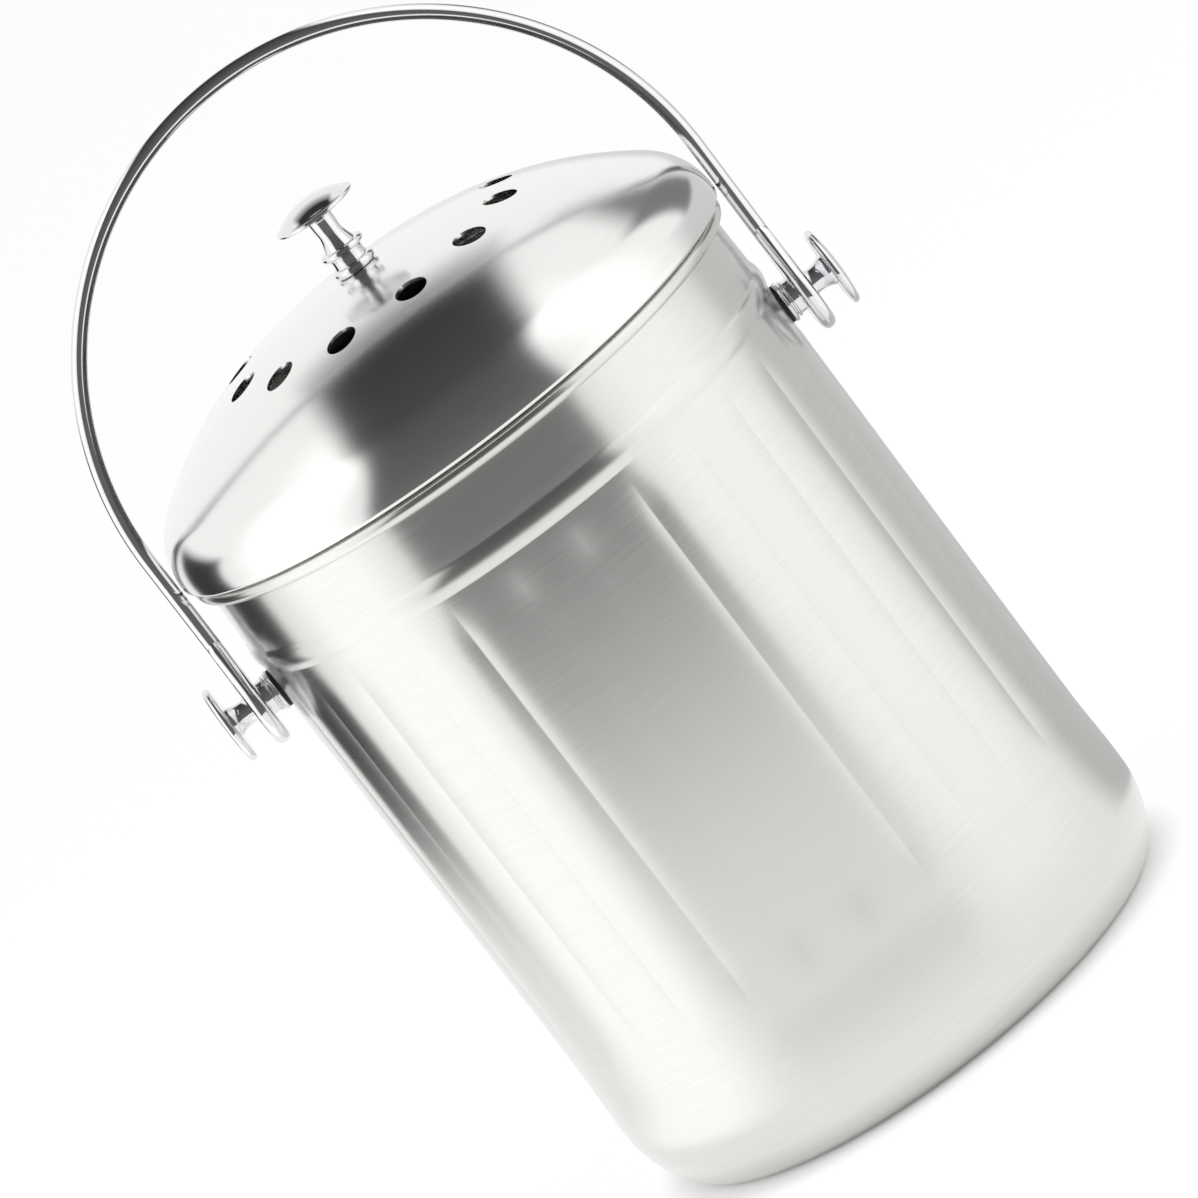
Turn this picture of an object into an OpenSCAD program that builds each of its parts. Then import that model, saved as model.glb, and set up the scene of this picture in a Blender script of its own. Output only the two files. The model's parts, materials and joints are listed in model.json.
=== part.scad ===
// Countertop compost pail of stainless sheet: a ribbed pail with a rolled rim, a swinging bail
// on two turned pivots, and a domed lift-off lid with vents, a knob and a charcoal filter.
// Millimetres, +Z up, origin on the table under the middle of the pail, bail pivots along X.

/* [Pail] */
// Outside radius of the plain band above the foot
body_r = 80.1; // [60:0.1:110]
// Height of the rolled rim's top above the table
pail_h = 203.5; // [150:0.5:260]
// Thickness of the pail's sheet
wall = 0.8; // [0.5:0.1:1.2]
// Radius of the rolled rim's section
rim_roll_r = 2.1; // [1.6:0.1:3]
// How far the neck draws in from the body to the rolled rim
neck_draw = 0.5; // [0:0.1:2]
// Depth of the bead's middle below the rim
bead_drop = 23.6; // [18:0.1:26]
// Height of the bead round the neck
bead_h = 6.7; // [5:0.1:8]
// How far the bead stands out
bead_rise = 0.8; // [0.3:0.1:1.4]

/* [Ribs] */
// Number of upright ribs round the pail
rib_count = 27; // [18:1:40]
// Radius of one rib's rounded face
rib_face_r = 38; // [24:1:46]
// How far the rib crests lie inside the plain band
rib_inset = 0.5; // [0.3:0.1:1]
// Direction of the first rib, in degrees from +X
rib_turn = -81; // [-90:0.5:-70]
// Depth of the ribs' upper ends below the rim
rib_top_drop = 31.4; // [30:0.1:33]
// Height of the ribs' lower ends above the table
rib_foot_z = 42.6; // [40:0.5:60]
// Height of the swell from the ribs' lower ends down to the plain band
swell_h = 19; // [12:0.5:19]
// Height of the step from the ribs' upper ends up to the neck
rib_step_h = 2.6; // [2:0.1:2.8]

/* [Foot] */
// Radius of the upper, wider arc of the foot
foot_side_r = 30; // [20:0.5:32]
// Radius of the lower, tighter arc of the foot
foot_edge_r = 8.5; // [5:0.5:9]
// Turn of the wider arc, in degrees
foot_turn = 35; // [25:1:36]

/* [Pivots] */
// Depth of the bail's axis below the rim
pivot_drop = 34.5; // [34:0.1:40]
// Radius of the flat pressed for each pivot
land_r = 7; // [6.5:0.1:7.2]
// How far the flat lies inside the plain band
land_inset = 0.3; // [0.1:0.05:0.5]
// Diameter of the black gasket
gasket_d = 11; // [9:0.1:12.8]
// Thickness of the black gasket
gasket_t = 0.9; // [0.5:0.1:1.2]
// Diameter of the collar's ring
collar_d = 11.8; // [10:0.1:14]
// Height of the collar's ring
collar_ring_h = 1.3; // [0.8:0.1:1.5]
// Diameter of the collar's neck
collar_neck_d = 9.8; // [8:0.1:9.9]
// Diameter of the sleeve that the bail's eye turns on
sleeve_d = 6; // [5.4:0.1:6.6]
// Diameter of the pivot and lid screws
screw_d = 4; // [3:0.1:4.4]
// Length of screw held in a knob
grip_depth = 4.5; // [3:0.1:5.2]
// Diameter of a screw's head
screw_head_d = 8; // [6.5:0.1:9]
// Height of a screw's head
screw_head_h = 2.6; // [1.8:0.1:3.2]
// Outside diameter of the washer behind each pivot screw
inner_washer_d = 9; // [7.5:0.1:12]
// Thickness of a washer
washer_t = 0.8; // [0.5:0.1:1.2]
// Diameter of a pivot knob's cap
side_cap_d = 22.2; // [16:0.1:28]
// Thickness of a pivot knob's cap at its rounded edge
side_cap_edge = 2.2; // [1.4:0.1:3]
// Rise of a pivot knob's domed face
side_cap_rise = 0.8; // [0.3:0.1:2]
// Length of a pivot knob's post
side_post_h = 5.8; // [5:0.1:9]

/* [Bail] */
// Diameter of the bail's rod
rod_d = 4.3; // [3:0.1:5]
// Height of the bail's crown above the rim, on the rod's middle line
bail_h = 98.7; // [97:0.5:140]
// Thickness of the flat paddle at each end of the bail
paddle_t = 4.1; // [3:0.1:4.6]
// Radius of the paddle's round end
paddle_r = 12.2; // [8:0.1:14]
// Height of the paddle above the bail's axis
paddle_h = 20; // [17:0.5:28]
// Width of the paddle where it meets the rod
paddle_top_w = 5.2; // [4.4:0.1:8]
// Gap between the lid's edge and the bail's rod
bail_gap = 0.5; // [0.3:0.05:4]

/* [Lid] */
// How far the lid's rolled edge stands out past the rolled rim
lid_overhang = 1.4; // [0.6:0.1:3]
// Thickness of the lid's sheet
lid_wall = 0.8; // [0.5:0.1:1]
// Radius of the lid's rolled edge
lid_hem_r = 1.1; // [1:0.1:1.4]
// How far the lid's upright band lies inside its rolled edge
lid_band_inset = 0.1; // [0.1:0.1:0.6]
// Height from the lid's lower edge to the top of its upright band
lid_band_h = 1.8; // [1.5:0.1:4]
// Radius of the bend between the upright band and the dome
lid_bend_r = 18; // [12:0.5:20]
// Radius of the dome's shoulder in section
lid_shoulder_r = 106; // [98:1:116]
// Radius of the dome's crown
lid_crown_r = 165; // [150:1:220]
// Distance from the middle at which crown and shoulder meet
lid_crown_reach = 36; // [28:0.5:37]
// Radius of the flat under the knob
lid_flat_r = 10.7; // [8:0.1:14]
// Number of vent holes
vent_count = 12; // [6:1:16]
// Diameter of a vent hole
vent_d = 9; // [4:0.1:12]
// Radius of the circle of vent holes
vent_ring_r = 41.7; // [30:0.1:60]
// Direction of the first vent hole, in degrees from +X
vent_turn = 10.3; // [0:0.1:30]
// Depth of the locating skirt below the lid's lower edge
skirt_drop = 9; // [6:0.5:14]
// Clearance round the skirt inside the pail's neck
skirt_clear = 0.5; // [0.3:0.05:1]

/* [Lid knob] */
// Diameter of the lid knob's cap
lid_cap_d = 23; // [18:0.1:30]
// Thickness of the cap's edge
lid_cap_edge = 1.1; // [0.8:0.1:2]
// Rise of the cap's dome
lid_cap_rise = 3.4; // [1:0.1:6]
// Height of the knob's foot ring
foot_ring_h = 2.7; // [2:0.1:4]
// Diameter of the knob's foot ring
foot_ring_d = 12.2; // [10:0.1:16]
// Height of the hollow between the knob's two rings
knob_hollow_h = 2.9; // [2:0.1:4]
// Diameter of the hollow between the knob's two rings
knob_hollow_d = 9.6; // [8:0.1:9.9]
// Height of the knob's upper ring
upper_ring_h = 2; // [1.4:0.1:3]
// Diameter of the knob's upper ring
upper_ring_d = 12.4; // [10:0.1:16]
// Length of the knob's stem from the upper ring to the cap
stem_h = 10.2; // [6:0.1:16]
// Diameter of the stem at its waist
stem_d = 6.6; // [6:0.1:8]
// Outside diameter of the washer under the dome
lid_washer_d = 12; // [9:0.1:16]

/* [Filter] */
// Clearance round the filter tray inside the skirt
tray_clear = 0.4; // [0.3:0.05:1]
// Thickness of the tray's rim and floor
tray_t = 1.6; // [1.2:0.1:2.4]
// Height of the tray's rim
tray_h = 8; // [5:0.1:12]
// Depth of the tray's underside below the lid's lower edge
tray_drop = 3; // [1:0.1:4]
// Width of the tray's outer floor ring
tray_floor_w = 10; // [8:0.1:14]
// Width of the tray's bars
tray_bar_w = 2.4; // [1.6:0.1:4]
// Number of the tray's spokes
tray_spokes = 8; // [6:1:12]
// Thickness of the charcoal pad at its middle
pad_h = 9; // [5:0.5:12]
// Height of the pad's crown
pad_crown = 1.6; // [0.6:0.1:2.5]
// Radius of the pad's rounded edge
pad_edge_r = 2.4; // [1:0.1:2.4]
// Gap round the pad inside the tray's rim
pad_clear = 0.6; // [0.3:0.1:2]
// Length of a clip along the skirt, in degrees
clip_angle = 8; // [5:0.5:12]
// Reach of a clip under the tray
clip_reach = 6; // [4:0.5:7]
// Thickness of a clip
clip_t = 0.8; // [0.5:0.1:1.2]

/* [Hidden] */

left = -1;
right = 1;
round_fn = 360;
fine_fn = 96;
small_fn = 64;
arc_steps = 10;
curve_steps = 12;
cut = 1;
lap = 2;
seat_gap = 0.3;
side_gap = 0.15;
weld_gap = 0.05;
eye_clear = 0.05;
thread_clear = 0.05;
hole_clear = 0.15;

// Pail
neck_top_r = body_r - neck_draw;
neck_in_r = neck_top_r - wall;
rim_c_r = neck_in_r + rim_roll_r;
rim_c_z = pail_h - rim_roll_r;
rim_r = rim_c_r + rim_roll_r;
rim_end_turn = -125;
bead_z = pail_h - bead_drop;
bead_arc_r = (pow(bead_h / 2, 2) + pow(bead_rise, 2)) / (2 * bead_rise);
bead_c_r = body_r + bead_rise - bead_arc_r;

// Ribs: each rib's face is a cylinder whose axis lies rib_axis_r from the pail's own axis,
// and rib_crease_r is where two neighbouring faces meet
rib_pitch = 360 / rib_count;
rib_crest_r = body_r - rib_inset;
rib_axis_r = rib_crest_r - rib_face_r;
rib_crease_r = rib_axis_r * cos(rib_pitch / 2)
    + sqrt(pow(rib_face_r, 2) - pow(rib_axis_r * sin(rib_pitch / 2), 2));
rib_floor_dip = 0.4;
rib_floor_r = rib_crease_r - rib_floor_dip;
rib_top_z = pail_h - rib_top_drop;
swell_slope = (body_r - rib_crease_r) / swell_h;
step_slope = (body_r - rib_crease_r) / rib_step_h;
rib_low_z = rib_foot_z - (rib_crest_r + rib_inset / 2 - rib_crease_r) / swell_slope;
rib_high_z = rib_top_z + (rib_crest_r + rib_inset / 2 - rib_crease_r) / step_slope;
rib_core_r = rib_crest_r * 0.75;
rib_strip_w = 1.5 * 2 * rib_crest_r * sin(rib_pitch / 2);

// Foot: the wider arc meets the side, the tighter one the flat base
foot_side_c_r = body_r - foot_side_r;
foot_edge_c_r = foot_side_c_r + (foot_side_r - foot_edge_r) * cos(foot_turn);
foot_side_c_z = foot_edge_r + (foot_side_r - foot_edge_r) * sin(foot_turn);

// Pivots, measured outwards along X from the flat on the wall
pivot_z = pail_h - pivot_drop;
land_x = body_r - land_inset;
land_root_x = body_r * 0.9;
sleeve_bore_d = screw_d + 2 * hole_clear;
tapped_d = screw_d + 2 * thread_clear;

// Lid, from the seat on the rolled rim upwards
lid_z = pail_h + seat_gap;
lid_edge_r = rim_r + lid_overhang;
lid_band_r = lid_edge_r - lid_band_inset;
hem_c_r = lid_edge_r - lid_hem_r;
hem_c_z = lid_z + lid_hem_r;
bend_c_r = lid_band_r - lid_bend_r;
bend_c_z = lid_z + lid_band_h;
crown_turn = asin(lid_crown_reach / lid_crown_r);
shoulder_c_r = lid_crown_reach - lid_shoulder_r * sin(crown_turn);
bend_turn = asin((bend_c_r - shoulder_c_r) / (lid_shoulder_r - lid_bend_r));
shoulder_c_z = bend_c_z - (lid_shoulder_r - lid_bend_r) * cos(bend_turn);
crown_c_z = shoulder_c_z - (lid_crown_r - lid_shoulder_r) * cos(crown_turn);
lid_flat_z = crown_c_z + sqrt(pow(lid_crown_r, 2) - pow(lid_flat_r, 2));

// Bail
bail_x = lid_edge_r + bail_gap + rod_d / 2;
arch_z = pail_h + bail_h - bail_x;
eye_d = sleeve_d + 2 * eye_clear;
collar_h = bail_x - paddle_t / 2 - side_gap - land_x - gasket_t;
sleeve_h = paddle_t + 2 * side_gap;
knob_s = gasket_t + collar_h + sleeve_h;

// Skirt and filter
skirt_r = neck_in_r - skirt_clear;
skirt_in_r = skirt_r - lid_wall;
flange_r = hem_c_r - lid_hem_r - weld_gap;
tray_r = skirt_in_r - tray_clear;
tray_in_r = tray_r - tray_t;
tray_floor_r = tray_r - tray_floor_w;
tray_z = lid_z - tray_drop;
tray_ring_gap = tray_floor_r / 3;
pad_r = tray_in_r - pad_clear;
pad_z = tray_z + tray_t + seat_gap / 3;
clip_r = skirt_in_r - weld_gap;
clip_z = tray_z - weld_gap - clip_t;
clip_count = 3;
notch_angle = clip_angle + 3;
notch_offset = 60;

// Points along an arc round [cx, cz], from angle a0 to a1
function arc(cx, cz, r, a0, a1, n = arc_steps) =
    [for (i = [0:n]) let (a = a0 + (a1 - a0) * i / n) [cx + r * cos(a), cz + r * sin(a)]];

// Points along a smooth bend from a to c that is drawn towards b
function bend(a, b, c, n = curve_steps) =
    [for (i = [0:n]) let (t = i / n) pow(1 - t, 2) * a + 2 * t * (1 - t) * b + t * t * c];

// Points of a shallow dome from radius r at height z in to the middle, rise higher
function dome(r, z, rise) =
    let (big = (r * r + rise * rise) / (2 * rise), half = asin(r / big))
    arc(0, z + rise - big, big, 90 - half, 90, curve_steps);

// Points of a turned ring's rounded edge, from height z to z + h
function ring_edge(r, z, h) = arc(r - h / 2, z + h / 2, h / 2, -90, 90);

// Pail

// Half section of the pail without ribs, inset from its outer face
module pail_section(inset) {
    open_h = inset > 0 ? cut : 0;
    foot_low_z = foot_side_c_z - (foot_side_r - inset) * sin(foot_turn);
    polygon([
        [0, foot_side_c_z],
        [body_r - inset, foot_side_c_z],
        [body_r - inset, rib_foot_z - swell_h],
        [rib_floor_r - inset, rib_foot_z + rib_floor_dip / swell_slope],
        [rib_floor_r - inset, rib_top_z - rib_floor_dip / step_slope],
        [body_r - inset, rib_top_z + rib_step_h],
        [body_r - inset, bead_z],
        [neck_top_r - inset, rim_c_z],
        [neck_top_r - inset, rim_c_z + open_h],
        [0, rim_c_z + open_h]
    ]);
    translate([bead_c_r, bead_z]) circle(bead_arc_r - inset, $fn = small_fn);
    translate([foot_edge_c_r, foot_edge_r]) circle(foot_edge_r - inset, $fn = fine_fn);
    translate([0, inset]) square([foot_edge_c_r, foot_side_c_z - inset + lap]);
    intersection() {
        translate([foot_side_c_r, foot_side_c_z]) circle(foot_side_r - inset, $fn = round_fn);
        translate([0, foot_low_z]) square([body_r, foot_side_c_z - foot_low_z + lap]);
    }
}

// Cross section through the ribs, inset from their outer faces
module rib_section(inset) {
    circle(rib_core_r, $fn = round_fn);
    for (i = [0:rib_count - 1])
        rotate(rib_turn + i * rib_pitch)
            intersection() {
                translate([rib_axis_r, 0]) circle(rib_face_r - inset, $fn = round_fn);
                translate([rib_core_r * 0.9, -rib_strip_w / 2]) square([body_r, rib_strip_w]);
            }
}

// Flats for the pivots: local +Z points outwards from the pail's axis at the pivots' height
module at_pivots() {
    for (side = [left, right])
        translate([0, 0, pivot_z]) rotate([0, side * 90, 0]) children();
}

// Whole form of the pail, inset from its outer face
module pail_form(inset) {
    difference() {
        union() {
            rotate_extrude($fn = round_fn) pail_section(inset);
            translate([0, 0, rib_low_z])
                linear_extrude(rib_high_z - rib_low_z) rib_section(inset);
            at_pivots() translate([0, 0, land_root_x])
                cylinder(r = land_r - inset, h = land_x - inset - land_root_x, $fn = small_fn);
        }
        at_pivots() translate([0, 0, land_x - inset])
            cylinder(r = land_r + inset, h = land_r, $fn = small_fn);
    }
}

// Sheet rolled outwards and under, stopping short of the neck
module rim_roll() {
    rotate_extrude($fn = round_fn)
        polygon(concat(
            arc(rim_c_r, rim_c_z, rim_roll_r, 180, rim_end_turn, 3 * arc_steps),
            arc(rim_c_r, rim_c_z, rim_roll_r - wall, rim_end_turn, 180, 3 * arc_steps)
        ));
}

module pail_shell() {
    color("silver") difference() {
        union() {
            difference() {
                pail_form(0);
                pail_form(wall);
            }
            rim_roll();
        }
        at_pivots() translate([0, 0, land_root_x])
            cylinder(d = sleeve_bore_d, h = body_r, $fn = small_fn);
    }
}

// Pivots: local +Z points outwards from the flat on the wall

module on_side(side) {
    translate([side * land_x, 0, pivot_z]) rotate([0, side * 90, 0]) children();
}

module pivot_gasket(side) {
    color("black") on_side(side)
        difference() {
            cylinder(d = gasket_d, h = gasket_t, $fn = small_fn);
            translate([0, 0, -cut]) cylinder(d = sleeve_bore_d, h = gasket_t + 2 * cut, $fn = small_fn);
        }
}

// Turned collar: two rings, a neck, and the sleeve that carries the bail's eye
module pivot_collar(side) {
    groove_r = collar_neck_d / 2 - 0.3;
    groove_h = 0.3;
    lesser_h = 0.8;
    lesser_r = (collar_d + collar_neck_d) / 4;
    lesser_z = collar_ring_h + groove_h;
    color("gainsboro") on_side(side) translate([0, 0, gasket_t])
        rotate_extrude($fn = fine_fn)
            polygon(concat(
                [[sleeve_bore_d / 2, 0]],
                ring_edge(collar_d / 2, 0, collar_ring_h),
                [[groove_r, collar_ring_h], [groove_r, lesser_z]],
                ring_edge(lesser_r, lesser_z, lesser_h),
                [
                    [collar_neck_d / 2, lesser_z + lesser_h],
                    [collar_neck_d / 2, collar_h],
                    [sleeve_d / 2, collar_h],
                    [sleeve_d / 2, collar_h + sleeve_h],
                    [sleeve_bore_d / 2, collar_h + sleeve_h]
                ]
            ));
}

// Turned knob that closes the pivot: a waisted post and a wide domed cap
module pivot_knob(side) {
    post_r = 3.5;
    waist_r = 2.9;
    flare_r = 4.3;
    flare_h = side_post_h - 0.6;
    cap_r = side_cap_d / 2;
    color("gainsboro") on_side(side) translate([0, 0, knob_s])
        rotate_extrude($fn = fine_fn)
            polygon(concat(
                [[0, grip_depth + 0.5], [tapped_d / 2, grip_depth + 0.5], [tapped_d / 2, 0]],
                bend([post_r, 0], [waist_r, side_post_h / 2], [flare_r, flare_h]),
                [[flare_r, side_post_h]],
                ring_edge(cap_r, side_post_h, side_cap_edge),
                dome(cap_r - side_cap_edge / 2, side_post_h + side_cap_edge, side_cap_rise)
            ));
}

module washer(d) {
    difference() {
        cylinder(d = d, h = washer_t, $fn = small_fn);
        translate([0, 0, -cut]) cylinder(d = sleeve_bore_d, h = washer_t + 2 * cut, $fn = small_fn);
    }
}

// Cross-slotted screw, its head below z = 0 and its shank above
module screw(shank_h) {
    slot_w = 1.1;
    slot_l = 4.6;
    slot_h = 1.4;
    head_edge_r = 1.2;
    difference() {
        rotate_extrude($fn = fine_fn)
            polygon(concat(
                [[0, shank_h], [0, -screw_head_h]],
                arc(screw_head_d / 2 - head_edge_r, head_edge_r - screw_head_h, head_edge_r, -90, 0),
                [[screw_head_d / 2, 0], [screw_d / 2, 0], [screw_d / 2, shank_h]]
            ));
        for (turn = [0, 90])
            rotate(turn) translate([-slot_l / 2, -slot_w / 2, -screw_head_h - cut])
                cube([slot_l, slot_w, slot_h + cut]);
    }
}

module inner_washer(side) {
    color("silver") on_side(side) translate([0, 0, -wall - washer_t]) washer(inner_washer_d);
}

module pivot_screw(side) {
    color("gray") on_side(side) translate([0, 0, -wall - washer_t])
        screw(wall + washer_t + knob_s + grip_depth);
}

// Bail

// Flat paddle in the plane across the pivot axis, its round end about that axis
module paddle() {
    half_w = paddle_top_w / 2;
    reach = sqrt(pow(paddle_h, 2) + pow(half_w, 2));
    touch = atan2(paddle_h, half_w) - acos(paddle_r / reach);
    side_y = paddle_r * cos(touch);
    side_z = paddle_r * sin(touch);
    rotate([90, 0, 90]) translate([0, 0, -paddle_t / 2]) {
        cylinder(r = paddle_r, h = paddle_t, $fn = fine_fn);
        linear_extrude(paddle_t)
            polygon([
                [0, 0],
                [side_y, side_z],
                [half_w, paddle_h],
                [-half_w, paddle_h],
                [-side_y, side_z]
            ]);
    }
}

module bail_handle() {
    leg_z = pivot_z + paddle_h - rod_d;
    color("gainsboro") difference() {
        union() {
            translate([0, 0, arch_z]) rotate([90, 0, 0])
                rotate_extrude(angle = 180, $fn = round_fn)
                    translate([bail_x, 0]) circle(d = rod_d, $fn = small_fn);
            for (side = [left, right])
                translate([side * bail_x, 0, 0]) {
                    translate([0, 0, leg_z]) cylinder(d = rod_d, h = arch_z - leg_z, $fn = small_fn);
                    translate([0, 0, pivot_z]) paddle();
                }
        }
        translate([0, 0, pivot_z]) rotate([0, 90, 0])
            cylinder(d = eye_d, h = 4 * bail_x, center = true, $fn = small_fn);
    }
}

// Lid

// Half section of the domed lid, inset from its outer face
module lid_section(inset) {
    low_z = inset > 0 ? lid_z - cut : hem_c_z;
    flat_z = lid_flat_z - inset;
    crown_end_r = shoulder_c_r + (lid_shoulder_r - inset) * sin(crown_turn);
    shoulder_end_r = shoulder_c_r + (lid_shoulder_r - inset) * sin(bend_turn);
    intersection() {
        union() {
            intersection() {
                translate([0, crown_c_z]) circle(lid_crown_r - inset, $fn = 4 * round_fn);
                translate([0, low_z]) square([crown_end_r, lid_crown_r]);
            }
            intersection() {
                translate([shoulder_c_r, shoulder_c_z])
                    circle(lid_shoulder_r - inset, $fn = 4 * round_fn);
                translate([0, low_z]) square([shoulder_end_r, lid_crown_r]);
            }
            translate([bend_c_r, bend_c_z]) circle(lid_bend_r - inset, $fn = fine_fn);
            translate([0, low_z]) square([lid_band_r - inset, bend_c_z - low_z]);
        }
        translate([0, low_z]) square([lid_edge_r, flat_z - low_z]);
    }
}

module lid_dome() {
    color("silver") difference() {
        union() {
            difference() {
                rotate_extrude($fn = round_fn) lid_section(0);
                rotate_extrude($fn = round_fn) lid_section(lid_wall);
            }
            rotate_extrude($fn = round_fn) translate([hem_c_r, hem_c_z]) circle(lid_hem_r, $fn = small_fn);
        }
        for (i = [0:vent_count - 1])
            rotate(vent_turn + i * 360 / vent_count) translate([vent_ring_r, 0, lid_z])
                cylinder(d = vent_d, h = lid_crown_r, $fn = small_fn);
        translate([0, 0, lid_z]) cylinder(d = sleeve_bore_d, h = lid_crown_r, $fn = small_fn);
    }
}

// Skirt that locates the lid in the neck, with the flange that sits on the rolled rim
module lid_skirt() {
    color("silver") rotate_extrude($fn = round_fn)
        polygon([
            [skirt_in_r, lid_z - skirt_drop],
            [skirt_r, lid_z - skirt_drop],
            [skirt_r, lid_z],
            [flange_r, lid_z],
            [flange_r, lid_z + lid_wall],
            [skirt_in_r, lid_z + lid_wall]
        ]);
}

module lid_knob() {
    hollow_z = foot_ring_h;
    upper_z = hollow_z + knob_hollow_h;
    stem_z = upper_z + upper_ring_h;
    cap_z = stem_z + stem_h;
    cap_r = lid_cap_d / 2;
    hollow_r = knob_hollow_d / 2;
    stem_r = stem_d / 2;
    color("gainsboro") translate([0, 0, lid_flat_z])
        rotate_extrude($fn = fine_fn)
            polygon(concat(
                [[0, grip_depth + 0.5], [tapped_d / 2, grip_depth + 0.5], [tapped_d / 2, 0]],
                ring_edge(foot_ring_d / 2, 0, foot_ring_h),
                bend([hollow_r, hollow_z], [hollow_r - 0.4, (hollow_z + upper_z) / 2], [hollow_r, upper_z]),
                ring_edge(upper_ring_d / 2, upper_z, upper_ring_h),
                bend([stem_r + 1.2, stem_z], [stem_r - 0.3, stem_z + stem_h / 3], [stem_r, stem_z + stem_h / 2]),
                bend([stem_r + 0.1, cap_z - stem_h / 3], [stem_r + 0.1, cap_z - 0.6], [stem_r + 1, cap_z]),
                ring_edge(cap_r, cap_z, lid_cap_edge),
                dome(cap_r - lid_cap_edge / 2, cap_z + lid_cap_edge, lid_cap_rise)
            ));
}

module lid_knob_washer() {
    color("silver") translate([0, 0, lid_flat_z - lid_wall - washer_t]) washer(lid_washer_d);
}

module lid_knob_screw() {
    color("gray") translate([0, 0, lid_flat_z - lid_wall - washer_t])
        screw(lid_wall + washer_t + grip_depth);
}

// Filter

// Open plastic tray: rim, floor ring, two bar rings and spokes, notched to pass the clips
module filter_tray() {
    color("dimgray") translate([0, 0, tray_z]) difference() {
        union() {
            rotate_extrude($fn = round_fn)
                polygon([
                    [tray_floor_r, 0],
                    [tray_r, 0],
                    [tray_r, tray_h],
                    [tray_in_r, tray_h],
                    [tray_in_r, tray_t],
                    [tray_floor_r, tray_t]
                ]);
            for (i = [1:2])
                rotate_extrude($fn = round_fn)
                    translate([i * tray_ring_gap - tray_bar_w / 2, 0]) square([tray_bar_w, tray_t]);
            for (i = [0:tray_spokes - 1])
                rotate(i * 360 / tray_spokes)
                    translate([tray_ring_gap, -tray_bar_w / 2, 0])
                        cube([tray_floor_r + tray_bar_w - tray_ring_gap, tray_bar_w, tray_t]);
        }
        for (i = [0:clip_count - 1])
            rotate(notch_offset - notch_angle / 2 + i * 360 / clip_count)
                rotate_extrude(angle = notch_angle, $fn = round_fn)
                    translate([clip_r - clip_reach - seat_gap, -cut])
                        square([clip_reach + 2 * cut, tray_h + 2 * cut]);
    }
}

// Round cushion of charcoal felt with a slight crown
module charcoal_filter() {
    side_h = pad_h - pad_crown;
    color("black") translate([0, 0, pad_z])
        rotate_extrude($fn = round_fn)
            polygon(concat(
                [[0, 0]],
                arc(pad_r - pad_edge_r, pad_edge_r, pad_edge_r, -90, 0),
                arc(pad_r - pad_edge_r, side_h - pad_edge_r, pad_edge_r, 0, 90),
                dome(pad_r - pad_edge_r, side_h, pad_crown)
            ));
}

// Three tabs welded inside the skirt, on which the tray hangs
module filter_clips() {
    color("silver")
        for (i = [0:clip_count - 1])
            rotate(i * 360 / clip_count - clip_angle / 2)
                rotate_extrude(angle = clip_angle, $fn = round_fn)
                    translate([clip_r - clip_reach, clip_z]) square([clip_reach, clip_t]);
}

pail_shell();
bail_handle();
pivot_gasket(left);  // left_pivot_gasket
pivot_gasket(right);  // right_pivot_gasket
pivot_collar(left);  // left_pivot_collar
pivot_collar(right);  // right_pivot_collar
pivot_knob(left);  // left_pivot_knob
pivot_knob(right);  // right_pivot_knob
pivot_screw(left);  // left_pivot_screw
pivot_screw(right);  // right_pivot_screw
inner_washer(left);  // left_inner_washer
inner_washer(right);  // right_inner_washer
lid_dome();
lid_skirt();
lid_knob();
lid_knob_screw();
lid_knob_washer();
filter_tray();
charcoal_filter();
filter_clips();
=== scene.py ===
"""A brushed steel compost pail with a lift-off lid and a swinging bail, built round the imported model."""

import json
import math

import bmesh
import bpy
from bpy.props import FloatProperty, FloatVectorProperty, IntProperty, PointerProperty
from mathutils import Matrix, Vector
from mathutils.bvhtree import BVHTree

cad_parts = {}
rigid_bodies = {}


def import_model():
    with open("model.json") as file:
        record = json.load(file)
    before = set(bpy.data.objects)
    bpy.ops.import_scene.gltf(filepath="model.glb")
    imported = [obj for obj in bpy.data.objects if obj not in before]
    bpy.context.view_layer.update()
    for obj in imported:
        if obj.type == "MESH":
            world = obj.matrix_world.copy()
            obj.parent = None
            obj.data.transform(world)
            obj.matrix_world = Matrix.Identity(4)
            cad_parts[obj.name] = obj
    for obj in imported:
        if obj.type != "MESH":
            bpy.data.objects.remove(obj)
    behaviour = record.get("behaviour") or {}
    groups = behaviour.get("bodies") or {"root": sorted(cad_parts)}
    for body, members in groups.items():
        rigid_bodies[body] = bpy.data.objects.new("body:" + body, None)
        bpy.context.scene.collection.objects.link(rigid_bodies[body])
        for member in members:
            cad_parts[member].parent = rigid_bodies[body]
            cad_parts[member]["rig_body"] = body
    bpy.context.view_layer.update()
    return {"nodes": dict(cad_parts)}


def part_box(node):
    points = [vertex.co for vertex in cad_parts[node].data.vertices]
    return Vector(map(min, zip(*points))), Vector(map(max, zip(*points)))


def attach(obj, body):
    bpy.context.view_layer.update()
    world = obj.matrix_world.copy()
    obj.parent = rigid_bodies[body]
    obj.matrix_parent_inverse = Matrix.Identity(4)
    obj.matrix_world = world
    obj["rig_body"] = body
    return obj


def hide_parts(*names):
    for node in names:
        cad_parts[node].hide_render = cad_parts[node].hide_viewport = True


bl_info = {
    "name": "Compost pail",
    "version": (1, 0, 0),
    "blender": (4, 5, 0),
    "location": "View3D > Sidebar > Compost pail",
    "description": "Builds a ribbed steel compost pail, its lid, bail, pivots and filter, and a studio stage",
    "category": "Add Mesh",
}

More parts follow.
